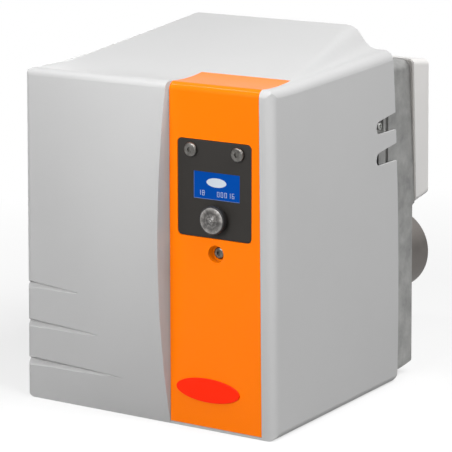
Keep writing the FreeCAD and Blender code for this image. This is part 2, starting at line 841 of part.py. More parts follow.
def build_display():
    """Dark fascia with its screws, the display module and the reset button."""
    body = Body("display_fascia", fascia_left, front, fascia_low)
    outline = body.sketch("XZ_Plane")
    wide, high = d.fascia_width, d.fascia_height
    body.outline(outline, [(0, 0), (wide, 0), (wide, high), (0, high)])
    body.pad(outline, d.fascia_thickness)
    body.fillet(d.fascia_radius, runs_along("y"))
    body.fillet(0.8, lambda edge: abs(edge.BoundBox.YMax) < 0.01)
    window = body.sketch("XZ_Plane")
    x = wide - d.window_inset - d.window_width
    z = d.window_rise
    body.outline(window, [(x, z), (x + d.window_width, z),
                          (x + d.window_width, z + d.window_height), (x, z + d.window_height)])
    body.pocket(window, d.fascia_thickness)
    collar = body.sketch("XZ_Plane", d.collar_proud)
    body.circle(collar, wide - d.button_inset, d.button_rise, d.collar_radius)
    body.pad(collar, d.collar_proud + 1.0)
    holes = body.sketch("XZ_Plane", d.collar_proud + 1.0)
    body.circle(holes, wide - d.button_inset, d.button_rise, d.button_radius + d.clearance)
    body.pocket(holes, d.collar_proud + d.fascia_thickness + 2.0)
    fixings = body.sketch("XZ_Plane")
    for shift in (0.0, d.fascia_screw_span):
        body.circle(fixings, wide - d.fascia_screw_inset - shift,
                    high - d.fascia_screw_drop, d.fascia_screw_shank + 0.1)
    body.pocket(fixings, d.fascia_thickness)
    body.done()
    spots = [(screw_x, screw_z), (screw_x - d.fascia_screw_span, screw_z)]
    screws("fascia_screws", spots, front, d.fascia_screw_head, d.fascia_screw_rise,
           d.fascia_screw_shank, d.fascia_thickness + 10.0)

    x = fascia_right - d.window_inset - d.window_width
    z = fascia_low + d.window_rise
    plate = box("display_board", x - 3.0, fascia_back, z - 3.5, d.window_width + 6.0, 4.7,
                d.window_height + 7.0)
    glass = box("display_glass", x + 0.2, front + d.display_recess, z + 0.2, d.window_width - 0.4,
                d.fascia_thickness - d.display_recess, d.window_height - 0.4)
    node(fuse("lcd_module", plate, glass))

    cap = Body("reset_button", button_x, front, button_z)
    radius = d.button_radius
    proud = d.button_proud
    cap.turned([
        (0, -proud), (d.button_lens, -proud), (d.button_lens, -(proud - 0.6)),
        (radius * 0.8, -(proud - 0.9)), (radius, -(proud - 2.4)), (radius, 0.6),
        (d.button_stem, 0.6), (d.button_stem, 22.0), (0, 22.0),
    ])
    cap.done()


def build_control():
    """Automatic control unit on a bent shelf, with its plug socket underneath."""
    gap = d.control_side_gap
    x = fascia_left + gap
    z = shelf_top
    y = fascia_back + 5.0
    case = rounded_slot("control_case", x, y, z, d.fascia_width - gap * 2, d.control_depth,
                        d.fascia_height, 3.0)
    bore = cylinder("control_button_bore", button_x, y - 1.0, button_z, d.button_stem + d.clearance, 24.0)
    holes = [
        cylinder(f"control_screw_bore_{number}", screw_x - d.fascia_screw_span * number, y - 1.0,
                 screw_z, d.fascia_screw_shank, 7.0)
        for number in range(2)
    ]
    recess = box("control_display_recess", x + 10.0, y - 1.0, fascia_low + d.window_rise - 4.0,
                 60.0, 1.2, 35.0)
    node(cut("control_unit", case, bore, recess, *holes))

    thick = d.shelf_thickness
    low = z - thick
    shelf = box("shelf_plate", fascia_left - 0.9, -316.0, low, d.fascia_width + 2.5, 194.0, thick)
    tab = box("shelf_tab", button_x - 12.5, -318.0, low - 24.0, 25.0, 2.0, 24.0 + thick)
    nut = doc.addObject("Part::Prism", "shelf_nut")
    nut.Polygon = 6
    bind(nut, "Circumradius", 5.5)
    bind(nut, "Height", 5.0)
    place(nut, button_x, -316.0, hood_screw_z, ALONG["Y"])
    tongue = box("shelf_foot", 0, -124.0, 60.0, 42.0, 2.0, shelf_top - 60.0)
    through = cylinder("shelf_tab_hole", button_x, -330.0, hood_screw_z,
                       d.hood_screw_shank + d.clearance, 30.0)
    node(cut("control_bracket", fuse("shelf_sheet", shelf, tab, nut, tongue), through))

    socket = rounded_slot("socket_case", 58.0, -250.0, low - d.socket_height, d.socket_width,
                          d.socket_depth, d.socket_height, 2.0)
    ways = [
        box(f"socket_way_{number}", 61.5 + 3.8 * number, -250.0, low - 18.0, 2.4, 14.0, 8.0)
        for number in range(7)
    ]
    node(cut("connector_socket", socket, *ways))


def ring_spots(radius, turn, x=0.0, z=0.0):
    """Four places a quarter turn apart on a circle."""
    angles = [math.radians(turn + 90.0 * number) for number in range(4)]
    return [(x + math.cos(angle) * radius, z + math.sin(angle) * radius) for angle in angles]


def scroll_wire(grow):
    """Outline of the air path: a spiral about the fan, running down into the round chamber."""
    centre = Vector(fan_x.value, 0, fan_z.value)

    def spiral(turn):
        angle = math.radians(-60.0 - 300.0 * turn)
        reach = mm.fan_radius + mm.scroll_gap + mm.scroll_growth * turn + grow
        return centre + Vector(reach * math.cos(angle), 0, reach * math.sin(angle))

    curve = Part.BSplineCurve()
    curve.interpolate([spiral(step / 8) for step in range(9)])
    reach = mm.chamber_radius + grow
    start = spiral(1.0)
    tongue = spiral(0.0)
    left_side = Vector(-reach, 0, 0)
    right_side = Vector(reach, 0, 0)
    bowl = Part.Arc(right_side, Vector(0, 0, -reach), left_side).toShape()
    return Part.Wire([
        curve.toShape(), Part.makeLine(start, right_side), bowl,
        Part.makeLine(left_side, tongue),
    ])


def scroll_block(grow, start, end):
    """The air path's outline as a solid between two depths."""
    face = Part.Face(scroll_wire(grow))
    face.translate(Vector(0, start, 0))
    return face.extrude(Vector(0, end - start, 0))


def rim_corners(inset):
    """Corners of the casting's outline, leaning with the hood's sides."""
    half = d.hood_width / 2 - d.hood_wall - d.housing_gap - inset
    low = foot + d.housing_foot + inset
    high = foot + d.housing_height - inset
    lean = d.hood_draft * d.housing_height / d.hood_height
    return [(middle - half, low), (middle + half, low), (middle + half - lean, high),
            (middle - half + lean, high)]


def build_housing():
    """Die-cast fan housing: outer rim, rear wall with its slanted seat, scroll and bosses."""
    body = Body("housing_casting")
    seat_y = -(d.housing_rear - d.seat_low_depth)
    seat_top = -(d.housing_rear + d.seat_high_depth)
    top_z = foot + d.housing_height
    outer = body.sketch("XZ_Plane", d.housing_front)
    body.outline(outer, rim_corners(0.0))
    body.pad(outer, d.housing_front + seat_y)
    body.fillet(d.housing_radius, lambda edge: edge.BoundBox.YLength > 40.0)
    behind = body.sketch("YZ_Plane", middle)
    run = -(d.housing_rear + d.foot_run)
    low = foot + d.housing_foot
    body.outline(behind, [(run, foot - 5.0), (run, low), (-d.housing_rear, low + d.foot_rise),
                          (-d.housing_rear, d.seat_low - 2.0),
                          (seat_y, d.seat_low), (seat_top, top_z), (seat_top, top_z + 10.0),
                          (0, top_z + 10.0), (0, foot - 5.0)])
    slant = body.pocket(behind, 500.0)
    slant.Midplane = True
    hollow = body.sketch("YZ_Plane", middle)
    wall = d.housing_wall
    back = d.rear_wall
    body.outline(hollow, [(-d.housing_front - 1.0, low + wall), (run, low + wall),
                          (-d.housing_rear - back, low + wall + d.foot_rise),
                          (-d.housing_rear - back, d.seat_low - 2.0), (-d.scroll_floor, d.seat_low),
                          (-d.scroll_floor, top_z - wall), (-d.housing_front - 1.0, top_z - wall)])
    half = d.hood_width - (d.hood_wall + d.housing_gap + wall + d.hood_draft) * 2
    inside = body.pocket(hollow, half)
    inside.Midplane = True
    relief = body.sketch("XZ_Plane", d.scroll_floor - back)
    relief_low = d.seat_low + 6.0
    relief_high = top_z - 6.0
    reach = d.hood_width / 2 - 14.5
    body.outline(relief, [(middle - reach, relief_low), (middle + reach, relief_low),
                          (middle + reach, relief_high), (middle - reach, relief_high)])
    body.pocket(relief, 30.0)
    groove = body.sketch("XZ_Plane", d.rim_groove_front)
    body.outline(groove, rim_corners(-5.0))
    body.outline(groove, rim_corners(d.rim_groove_depth))
    body.pocket(groove, d.rim_groove_width)
    doc.recompute()
    return body.body


def finish_housing(shell):
    start = plate_face + d.plate_thickness
    wall = mm.scroll_wall
    outer = shaped("scroll_outer", scroll_block(wall, start.value, -mm.housing_rear - 1.0))
    limit = cut("scroll_limit", outer, housing_back())
    bosses = [
        cylinder(f"housing_boss_{number}", x, start, z, 7.0, 70.0)
        for number, (x, z) in enumerate(PLATE_SCREWS)
    ]
    bosses = cut("housing_boss_limit", fuse("housing_bosses", *bosses), housing_back())
    posts = [
        cylinder(f"servo_post_{number}", x, -57.0, z, 4.0, 30.0)
        for number, (x, z) in enumerate(SERVO_POSTS)
    ]
    posts = cut("servo_post_limit", fuse("servo_posts", *posts), housing_back())
    inner = shaped("scroll_inner", scroll_block(0.0, start.value - 1.0, -mm.scroll_floor))
    deep = shaped("chamber_inner", Part.makeCylinder(
        mm.chamber_radius, 70.0, Vector(0, -mm.housing_rear - mm.rear_wall - 70.0, 0), Vector(0, 1, 0)))
    holes = [
        cylinder("housing_eye", fan_x, -80.0, fan_z, d.eye_radius, 60.0),
        cylinder("housing_tube_hole", 0, -80.0, 0, d.tube_radius - d.tube_step + d.clearance, 60.0),
        cylinder("housing_flap_hole", d.flap_right, -80.0, d.flap_up, d.flap_shaft + d.clearance, 60.0),
    ]
    holes += [
        cylinder(f"housing_boss_hole_{number}", x, start - 1.0, z, 2.5, 22.0)
        for number, (x, z) in enumerate(PLATE_SCREWS)
    ]
    holes += [
        cylinder(f"housing_box_hole_{number}", x, -60.0, z, 2.2, 30.0)
        for number, (x, z) in enumerate(BOX_SCREWS)
    ]
    holes += [
        cylinder(f"housing_tube_screw_{number}", x, -60.0, z, 2.1, 30.0)
        for number, (x, z) in enumerate(ring_spots(54.0, 0.0))
    ]
    holes += rim_screw_seats()
    node(cut("housing", fuse("housing_raw", shell, limit, bosses, posts), inner, deep, *holes))


def rim_side(sign):
    """Outside of the casting's rim at the height of its side screws."""
    half = d.hood_width / 2 - d.hood_wall - d.housing_gap
    rise = d.rim_screw_height - foot - d.housing_foot
    return middle + (half - d.hood_draft * rise / d.hood_height) * sign


def rim_screw_seats():
    """Recess and hole for the screw on either side of the rim."""
    seats = []
    for number, sign in enumerate((-1.0, 1.0)):
        floor = rim_side(sign) - 3.0 * sign
        seats.append(box(f"rim_seat_{number}", floor if sign > 0 else floor - 12.0,
                         -d.rim_screw_depth - 12.0, d.rim_screw_height - 7.0, 12.0, 20.0, 14.0))
        seats.append(cylinder(f"rim_hole_{number}", floor - 6.0, -d.rim_screw_depth + 1.5,
                              d.rim_screw_height, 2.0, 12.0, "X"))
    return seats


def build_rim_screws():
    """Round-headed screws on both sides of the rim, seen through the upper notches."""
    pair = doc.addObject("Part::Compound", "rim_screw_pair")
    pieces = []
    y = -d.rim_screw_depth + 1.5
    z = d.rim_screw_height
    for number, sign in enumerate((-1.0, 1.0)):
        floor = rim_side(sign) - 3.0 * sign
        outside = floor + 3.2 * sign
        head = cylinder(f"rim_head_{number}", floor if sign > 0 else outside, y, z, 4.2, 3.2, "X")
        dome = round_edges(f"rim_dome_{number}", head, 1.6,
                           lambda edge: abs(edge.CenterOfMass.x - outside.value) < 0.01)
        socket = doc.addObject("Part::Prism", f"rim_socket_{number}")
        socket.Polygon = 6
        bind(socket, "Circumradius", 1.8)
        bind(socket, "Height", 2.0)
        place(socket, outside - 1.6 if sign > 0 else outside - 0.4, y, z, ALONG["X"])
        shank = cylinder(f"rim_shank_{number}", floor - 4.0 if sign > 0 else floor, y, z, 2.0, 4.0, "X")
        pieces.append(fuse(f"rim_screw_{number}", cut(f"rim_driven_{number}", dome, socket), shank))
    pair.Links = pieces
    node(pair, "rim_screws")


def housing_back():
    """Everything behind the housing's rear face, to trim pieces that reach too far."""
    top_z = mm.housing_height - mm.axis_height
    flat = -mm.housing_rear - 0.5 * mm.rear_wall
    seat = -mm.scroll_floor + 0.5 * mm.rear_wall
    outline = [(-300, flat, -200), (-300, flat, mm.seat_low - 2), (-300, seat, mm.seat_low),
               (-300, seat, top_z), (-300, seat, top_z + 60), (-300, 60, top_z + 60),
               (-300, 60, -200)]
    return shaped(f"behind_housing_{len(doc.Objects)}", prism(outline, (600, 0, 0)))


SERVO_POSTS = [(51.0, 124.0), (93.0, 124.0), (93.0, 176.0)]
BOX_SCREWS = [(x, z) for x in (left + 27.0, right - 24.0) for z in (112.0, 228.0)]
PLATE_SCREWS = [(left + 25.0, 14.0), (left + 25.0, 226.0), (30.0, 226.0), (55.0, -30.0), (50.0, 82.0)]


def build_fan():
    """Fan wheel with forward-curved blades on a disc, its inlet ring and the motor's shaft."""
    body = Body("fan_wheel", fan_x, -d.fan_front, fan_z)
    radius = d.fan_radius
    shaft = d.shaft_radius + 0.02
    width = d.fan_width
    body.turned([
        (shaft, 0), (radius, 0), (radius, 1.5), (14.0, 4.0), (14.0, 20.0), (shaft, 20.0),
    ])
    ring = body.sketch("XZ_Plane", -(width - 2.0))
    body.circle(ring, 0, 0, radius)
    body.circle(ring, 0, 0, radius - d.blade_chord)
    body.pad(ring, 2.0)
    blade = body.sketch("XZ_Plane", -0.5)
    tip = radius.value - 0.6
    root = tip - mm.blade_chord + 1.2
    lean = math.radians(6.0)
    outer_end = Vector(tip * math.cos(lean), tip * math.sin(lean), 0)
    inner_end = Vector(root, 0, 0)
    mid = (outer_end + inner_end) * 0.5
    along = (outer_end - inner_end).normalize()
    across = Vector(-along.y, along.x, 0)
    outer_arc = Part.Arc(inner_end - across * 0.6, mid - across * 3.1, outer_end - across * 0.6)
    inner_arc = Part.Arc(inner_end + across * 0.6, mid - across * 1.9, outer_end + across * 0.6)
    blade.addGeometry(outer_arc)
    blade.addGeometry(inner_arc)
    blade.addGeometry(Part.LineSegment(inner_end - across * 0.6, inner_end + across * 0.6))
    blade.addGeometry(Part.LineSegment(outer_end - across * 0.6, outer_end + across * 0.6))
    vane = body.pad(blade, width - 1.0)
    body.around(vane, d.blade_count)
    body.done()

    ring = Body("fan_inlet_ring", fan_x, -d.fan_front + width, fan_z)
    ring.turned([
        (d.eye_radius - 3.0, 14.0), (d.eye_radius - 3.0, 5.0), (d.eye_radius + 2.0, 2.2),
        (d.eye_radius + 14.0, 2.2), (d.eye_radius + 14.0, 4.0), (d.eye_radius, 4.0), (d.eye_radius, 14.0),
    ])
    ring.done()

    shaft = Body("motor_shaft", fan_x, neck_face + 8.0, fan_z)
    reach = -d.fan_front + 22.0 - (neck_face + 8.0)
    radius = d.shaft_radius
    shaft.turned([
        (0, 0), (radius - 1.0, 0), (radius, 1.0), (radius, reach - 1.0), (radius - 1.0, reach), (0, reach),
    ])
    shaft.done()


def build_motor():
    """Capacitor motor: flange disc, finned case, end shield, stator and armature."""
    disc = Body("motor_plate", fan_x, cover_face, fan_z)
    sketch = disc.sketch("XZ_Plane")
    disc.circle(sketch, 0, 0, d.motor_flange)
    disc.circle(sketch, 0, 0, d.shaft_radius + d.running_fit)
    disc.pad(sketch, d.cover_thickness)
    register = disc.sketch("XZ_Plane", -d.cover_thickness)
    disc.circle(register, 0, 0, d.fan_radius + 0.9)
    disc.circle(register, 0, 0, d.shaft_radius + 8.0)
    disc.pad(register, 3.0)
    holes = disc.sketch("XZ_Plane")
    for x, z in ring_spots(d.motor_flange - 4.0, 45.0):
        disc.circle(holes, x, z, 2.6)
    disc.pocket(holes, d.cover_thickness)
    disc.done()
    spots = ring_spots(d.motor_flange - 4.0, 45.0, fan_x, fan_z)
    screws("motor_screws", spots, cover_face, 4.2, 3.0, 2.5, d.cover_thickness + 4.0)

    case = Body("motor_case", fan_x, motor_face, fan_z)
    sketch = case.sketch("XZ_Plane")
    case.circle(sketch, 0, 0, d.motor_radius - 3.0)
    case.circle(sketch, 0, 0, d.motor_radius - 6.0)
    case.pad(sketch, d.motor_length)
    fin = case.sketch("XZ_Plane", -8.0)
    radius = d.motor_radius
    case.outline(fin, [(radius - 4.0, -0.9), (radius, -0.7), (radius, 0.7), (radius - 4.0, 0.9)])
    rib = case.pad(fin, d.motor_length - 16.0)
    case.around(rib, 30.0)
    case.done()

    shield = Body("motor_end_shield", fan_x, motor_face, fan_z)
    neck = d.neck_radius
    shield.turned([
        (d.shaft_radius + d.running_fit, 0), (neck - 5.0, -6.0), (neck - 5.0, -d.neck_length),
        (neck, -d.neck_length), (neck, -6.0), (d.motor_radius - 4.0, 0),
        (d.motor_radius - 6.0, 0), (d.motor_radius - 6.0, 5.0),
        (d.motor_radius - 9.0, 5.0), (d.motor_radius - 9.0, 2.0), (d.shaft_radius + d.running_fit, 2.0),
    ])
    shield.done()

    stator = Body("motor_stator", fan_x, motor_face + 20.0, fan_z)
    sketch = stator.sketch("XZ_Plane")
    stator.circle(sketch, 0, 0, d.motor_radius - 6.0)
    stator.circle(sketch, 0, 0, 26.5)
    stator.pad(sketch, 55.0)
    stator.done()
    armature = Body("motor_armature", fan_x, motor_face + 20.0, fan_z)
    sketch = armature.sketch("XZ_Plane")
    armature.circle(sketch, 0, 0, 26.0)
    armature.circle(sketch, 0, 0, d.shaft_radius)
    armature.pad(sketch, 55.0)
    armature.done()

    can_front = -192.0
    can = cylinder("capacitor_can", left + 39, can_front, 45.0, 15.0, 70.0)
    node(round_edges("capacitor", can, 2.0, lambda edge: edge.CenterOfMass.y < can_front + 0.1))
    case_left = left + 25
    case_front = -212.0
    block = box("transformer_case", case_left, case_front, -66.0, 62.0, 90.0, 70.0)
    case = round_edges("transformer_rounded", block, 3.0, runs_along("y"))
    posts = [
        cylinder(f"transformer_post_{number}", case_left + 20.0 + 22.0 * number, case_front - 12.0,
                 -20.0, 6.0, 13.0)
        for number in range(2)
    ]
    node(fuse("ignition_transformer", case, *posts))


def build_pump():
    """Gear pump on the motor's neck, with its coupling, valve and the pipe to the nozzle line."""
    half = d.pump_width / 2
    face = neck_face - d.pump_length
    block = rounded_slot("pump_block", fan_x - half, face, fan_z - d.pump_height / 2,
                         d.pump_width, d.pump_length, d.pump_height, 6.0)
    cover = cylinder("pump_cover", fan_x, face - 5.0, fan_z, 24.0, 5.0)
    ports = [
        cylinder(f"pump_port_{number}", fan_x - half / 2 + d.port_spacing * number, face + 25.0,
                 fan_z - d.pump_height / 2, d.port_radius, d.port_depth, "Z")
        for number in range(2)
    ]
    bore = cylinder("pump_bore", fan_x, neck_face - 20.0, fan_z, 4.3, 30.0)
    spots = ring_spots(19.0, 45.0, fan_x, fan_z)
    screw_holes = [cylinder(f"pump_screw_hole_{number}", x, face - 10.0, z, 2.0, 17.1)
                   for number, (x, z) in enumerate(spots)]
    node(cut("oil_pump", fuse("pump_raw", block, cover), bore, *ports, *screw_holes))
    screws("pump_screws", spots, face - 5.0, 3.6, 2.6, 2.0, 12.0)

    coupling = Body("pump_coupling", fan_x, neck_face - 14.0, fan_z)
    coupling.turned([
        (0, 0), (4.0, 0), (4.0, 15.5), (12.0, 15.5), (12.0, 27.0), (d.shaft_radius + 0.02, 27.0),
        (d.shaft_radius + 0.02, 22.0), (0, 22.0),
    ])
    coupling.done()

    x = fan_x + half
    y = face + 24.0
    nipple = cylinder("valve_nipple", x, y, fan_z, 7.0, 9.0, "X")
    coil = rounded_slot("valve_coil", x + 8.0, y - 17.0, fan_z - 17.0, 26.0, 34.0, 34.0, 4.0)
    outlet = cylinder("valve_outlet", x + 20.0, y, fan_z - 22.0, 6.0, 6.0, "Z")
    node(fuse("solenoid_valve", nipple, coil, outlet))

    start = Vector((x + 20.0).value, y.value, (fan_z - 22.0).value)
    points = [start, Vector(start.x, start.y, 64.0), Vector(start.x, -175.0, 64.0),
              Vector(0, -142.0, 64.0), Vector(0, -142.0, 12.0)]
    path = rounded_path(points, mm.bend_radius)
    ring = Part.Wire(Part.makeCircle(mm.pipe_radius, start, Vector(0, 0, 1)))
    pipe = shaped("pipe_run", path.makePipeShell([ring], True, False))
    nuts = []
    for number, (spot_x, spot_y, spot_z) in enumerate([(start.x, start.y, start.z - 9.0), (0, -142.0, 12.0)]):
        nut = doc.addObject("Part::Prism", f"pipe_nut_{number}")
        nut.Polygon = 6
        bind(nut, "Circumradius", 6.5)
        bind(nut, "Height", 9.0)
        place(nut, spot_x, spot_y, spot_z)
        nuts.append(nut)
    node(fuse("oil_pipe", pipe, *nuts))


def rounded_path(points, radius):
    """A path of straight runs whose corners are rounded to one radius."""
    edges = []
    last = points[0]
    for before, corner, after in zip(points, points[1:], points[2:]):
        back = (before - corner).normalize()
        ahead = (after - corner).normalize()
        half = back.getAngle(ahead) / 2
        run = radius / math.tan(half)
        start = corner + back * run
        end = corner + ahead * run
        inward = (back + ahead).normalize()
        centre = corner + inward * (radius / math.sin(half))
        edges.append(Part.makeLine(last, start))
        edges.append(Part.Arc(start, centre - inward * radius, end).toShape())
        last = end
    edges.append(Part.makeLine(last, points[-1]))
    return Part.Wire(edges)


def build_plates():
    """Base plate that closes the air path, and the cover round the nozzle line."""
    plate = Body("base_plate", 0, plate_face, 0)
    sketch = plate.sketch("XZ_Plane")
    edge = left + 15.0
    plate.outline(sketch, [(edge, -66), (-30, -66), (62, -40), (62, 100), (42, 100), (42, 238), (edge, 238)])
    plate.pad(sketch, d.plate_thickness)
    plate.fillet(6.0, runs_along("y"))
    holes = plate.sketch("XZ_Plane")
    plate.circle(holes, fan_x, fan_z, d.fan_radius + 1.0)
    for x, z in ring_spots(d.motor_flange - 4.0, 45.0, fan_x, fan_z):
        plate.circle(holes, x, z, 2.5)
    plate.circle(holes, 0, 0, d.access_radius)
    for x, z in PLATE_SCREWS:
        plate.circle(holes, x, z, 2.6)
    plate.pocket(holes, d.plate_thickness)
    plate.done()
    screws("base_plate_screws", PLATE_SCREWS, plate_face, 4.5, 3.2, 2.5, 20.0)

    cover = Body("nozzle_cover", 0, cover_face, 0)
    sketch = cover.sketch("XZ_Plane")
    cover.circle(sketch, 0, 0, d.access_radius + 6.0)
    cover.circle(sketch, 0, 0, d.line_radius + d.running_fit)
    cover.circle(sketch, -32.0, -26.0, 7.75)
    cover.circle(sketch, 22.0, 18.0, 3.05)
    cover.pad(sketch, d.cover_thickness)
    cover.fillet(1.5, lambda edge: abs(edge.BoundBox.YMax) < 0.01 and edge.BoundBox.XLength > 90.0)
    cover.done()
    detector = Body("flame_detector", -32.0, -150.0, -26.0)
    detector.turned([(0, 0), (6.5, 0), (7.7, 1.2), (7.7, 32.0), (0, 32.0)])
    detector.done()


def build_nozzle():
    """Nozzle line that slides along the tube with nozzle, diffuser and electrodes, and its screw."""
    block = box("line_block_blank", -15.0, cover_face - d.block_length, -12.0, 30.0, d.block_length, 24.0)
    bore = cylinder("line_block_bore", 0, cover_face - d.block_length - 1.0, 0,
                    d.line_radius + d.running_fit, d.block_length + 2.0)
    node(cut("line_block", round_edges("line_block_rounded", block, 2.0, runs_along("y")), bore))

    line_body = Body("nozzle_line", 0, -d.line_front, 0)
    reach = d.line_front + d.line_tip
    radius = d.line_radius
    line_body.turned([
        (0, 0), (radius - 0.8, 0), (radius, 0.8), (radius, reach - 14.0), (9.0, reach - 14.0),
        (9.0, reach), (0, reach),
    ])
    line_body.done()
    tip = Body("nozzle", 0, d.line_tip, 0)
    tip.turned([(0, 0), (7.0, 0), (7.0, 5.0), (5.5, 5.0), (5.5, 10.0), (2.0, 13.0), (0, 13.0)])
    tip.done()

    disc = Body("diffuser", 0, 96.0, 0)
    sketch = disc.sketch("XZ_Plane")
    disc.circle(sketch, 0, 0, d.diffuser_radius)
    disc.circle(sketch, 0, 0, 10.0)
    disc.pad(sketch, 1.5)
    slot = disc.sketch("XZ_Plane", 1.0)
    disc.outline(slot, [(14.0, -0.8), (31.0, -0.8), (31.0, 0.8), (14.0, 0.8)])
    gap = disc.pocket(slot, 4.0)
    disc.around(gap, 8.0)
    disc.done()
    ring = cylinder("holder_ring", 0, 68.0, 0, 15.0, 10.0)
    legs = [
        box(f"holder_leg_{number}", 12.0 * side - 2.5, 72.0, -2.0, 5.0, 24.0, 4.0)
        for number, side in enumerate((-1.0, 1.0))
    ]
    hole = cylinder("holder_bore", 0, 60.0, 0, 9.0, 24.0)
    node(cut("diffuser_holder", fuse("holder_raw", ring, *legs), hole))

    rods = []
    for number, side in enumerate((-1.0, 1.0)):
        rods.append(cylinder(f"electrode_ceramic_{number}", side * 7.0, 20.0, 22.0, 4.0, 66.0))
        rods.append(cylinder(f"electrode_rod_{number}", side * 7.0, 0, 22.0, 1.2, 94.0))
    pair = doc.addObject("Part::Compound", "electrode_pair")
    pair.Links = [fuse(f"electrode_{number}", *rods[2 * number:2 * number + 2]) for number in range(2)]
    node(pair, "electrodes")
    clamp = box("clamp_block", -13.0, 50.0, -2.0, 26.0, 10.0, 29.0)
    holes = [cylinder("clamp_line_hole", 0, 40.0, 0, d.line_radius, 30.0)]
    holes += [cylinder(f"clamp_rod_hole_{number}", side * 7.0, 40.0, 22.0, 4.0, 30.0)
              for number, side in enumerate((-1.0, 1.0))]
    node(cut("electrode_clamp", clamp, *holes))

    yoke = box("yoke_plate", -9.0, -182.0, -9.0, 40.0, 6.0, 36.0)
    yoke_holes = [cylinder("yoke_line_hole", 0, -190.0, 0, d.line_radius, 20.0),
                  cylinder("yoke_screw_hole", 22.0, -190.0, 18.0, 3.05, 20.0)]
    node(cut("adjusting_yoke", yoke, *yoke_holes))
    knob = Body("adjusting_screw", 22.0, -212.0, 18.0)
    knob.turned([(0, 0), (8.0, 0), (9.0, 1.0), (9.0, 12.0), (3.0, 12.0), (3.0, 89.0), (0, 89.0)])
    flat = knob.sketch("XZ_Plane")
    knob.outline(flat, [(8.2, -1.0), (12.0, -1.0), (12.0, 1.0), (8.2, 1.0)])
    flute = knob.pocket(flat, 10.0)
    knob.around(flute, 18.0)
    knob.done()


def build_tube():
    """Blast tube with its ring of screws, the mounting flange with clamp screw and the gasket."""
    tube = Body("blast_tube", 0, -d.tube_inside, 0)
    radius = d.tube_radius
    bore = radius - d.tube_wall
    length = d.tube_inside + d.tube_reach
    collar = d.tube_inside - d.housing_rear
    sleeve = radius - d.tube_step
    narrow = sleeve - d.tube_wall
    tube.turned([
        (narrow, 0), (sleeve, 0), (sleeve, collar), (d.tube_collar, collar), (d.tube_collar, collar + 4.0),
        (sleeve, collar + 4.0), (sleeve, d.tube_inside), (radius, d.tube_inside),
        (radius, length), (bore - 3.0, length), (bore - 3.0, length - 1.5),
        (bore, length - 3.0), (bore, d.tube_inside + 3.0), (narrow, d.tube_inside + 3.0),
    ])
    holes = tube.sketch("XZ_Plane")
    for x, z in ring_spots(54.0, 0.0):
        tube.circle(holes, x, z, 2.1)
    tube.pocket(holes, 40.0)
    tube.done()
    screws("tube_screws", ring_spots(54.0, 0.0), -d.housing_rear + 4.0, 3.8, 2.8, 2.1, 8.0, 1.0)

    def pattern_holes(body, length):
        holes = body.sketch("XZ_Plane", 50.0)
        for x, z in ring_spots(d.bolt_circle / 2, 45.0):
            body.circle(holes, x, z, d.bolt_hole)
        body.pocket(holes, length)

    flange = Body("mount_flange", 0, -d.gasket_thickness, 0)
    inner = sleeve + d.running_fit
    thick = d.flange_thickness
    flange.turned([
        (inner, 0), (d.flange_radius, 0), (d.flange_radius, -(thick - 2.0)), (d.flange_radius - 2.0, -thick),
        (radius + 10.0, -thick), (radius + 10.0, -(thick + 14.0)), (inner, -(thick + 14.0)),
    ])
    pattern_holes(flange, 60.0)
    screw = flange.sketch("YZ_Plane", 40.0)
    flange.circle(screw, -(thick + 7.0), 0, 3.0)
    hole = flange.pocket(screw, 40.0)
    hole.Reversed = True
    flange.done()
    shank = cylinder("clamp_screw_shank", sleeve + 1.0, -d.gasket_thickness - thick - 7.0, 0, 3.0, 14.0, "X")
    head = doc.addObject("Part::Prism", "clamp_screw_head")
    head.Polygon = 6
    bind(head, "Circumradius", 5.5)
    bind(head, "Height", 4.0)
    place(head, radius + 10.0, -d.gasket_thickness - thick - 7.0, 0, ALONG["X"])
    node(fuse("flange_clamp_screw", shank, head))
    gasket = Body("flange_gasket", 0, -d.gasket_thickness, 0)
    sheet_sketch = gasket.sketch("XZ_Plane")
    gasket.circle(sheet_sketch, 0, 0, d.flange_radius)
    gasket.circle(sheet_sketch, 0, 0, radius + 1.0)
    gasket.pad(sheet_sketch, d.gasket_thickness)
    pattern_holes(gasket, 70.0)
    gasket.done()


def box_form(inset, start_extra):
    """Air box form: a drafted block between the slanted seat and the slanted rear face."""
    lean = math.tan(math.radians(mm.box_taper))
    seat_low_y = -(mm.housing_rear - mm.seat_low_depth) + mm.seal_thickness
    seat_top_y = -(mm.housing_rear + mm.seat_high_depth) + mm.seal_thickness
    side_lean = math.tan(math.radians(mm.box_side_taper))
    half = mm.hood_width / 2 - mm.box_side_gap - inset
    z_low = mm.seat_low - 1.0 + inset
    z_high = mm.housing_height - mm.axis_height - inset

    def wire(y):
        back = y + 43.0
        reach = half - back * side_lean
        low = z_low + back * lean
        high = z_high - back * lean
        points = [Vector(middle.value + side * reach, y, z)
                  for side, z in ((-1, low), (1, low), (1, high), (-1, high))]
        return Part.makePolygon(points + points[:1])

    block = Part.makeLoft([wire(-70.0), wire(0.0)], True, True)
    radius = max(mm.box_radius - inset, 2.0)
    block = block.makeFillet(radius, [edge for edge in block.Edges if edge.BoundBox.YLength > 60.0])
    low, high = mm.seat_low, mm.housing_height - mm.axis_height
    profile = [(-300, seat_low_y - start_extra, low), (-300, seat_top_y - start_extra, high),
               (-300, seat_top_y - start_extra - 2.0, high + 20), (-300, -mm.box_rear_high - inset, high + 20),
               (-300, -mm.box_rear_high - inset, high), (-300, -mm.box_rear_low - inset, low),
               (-300, -mm.box_rear_low - inset, low - 20), (-300, seat_low_y - start_extra, low - 20)]
    return block.common(prism(profile, (600, 0, 0)))


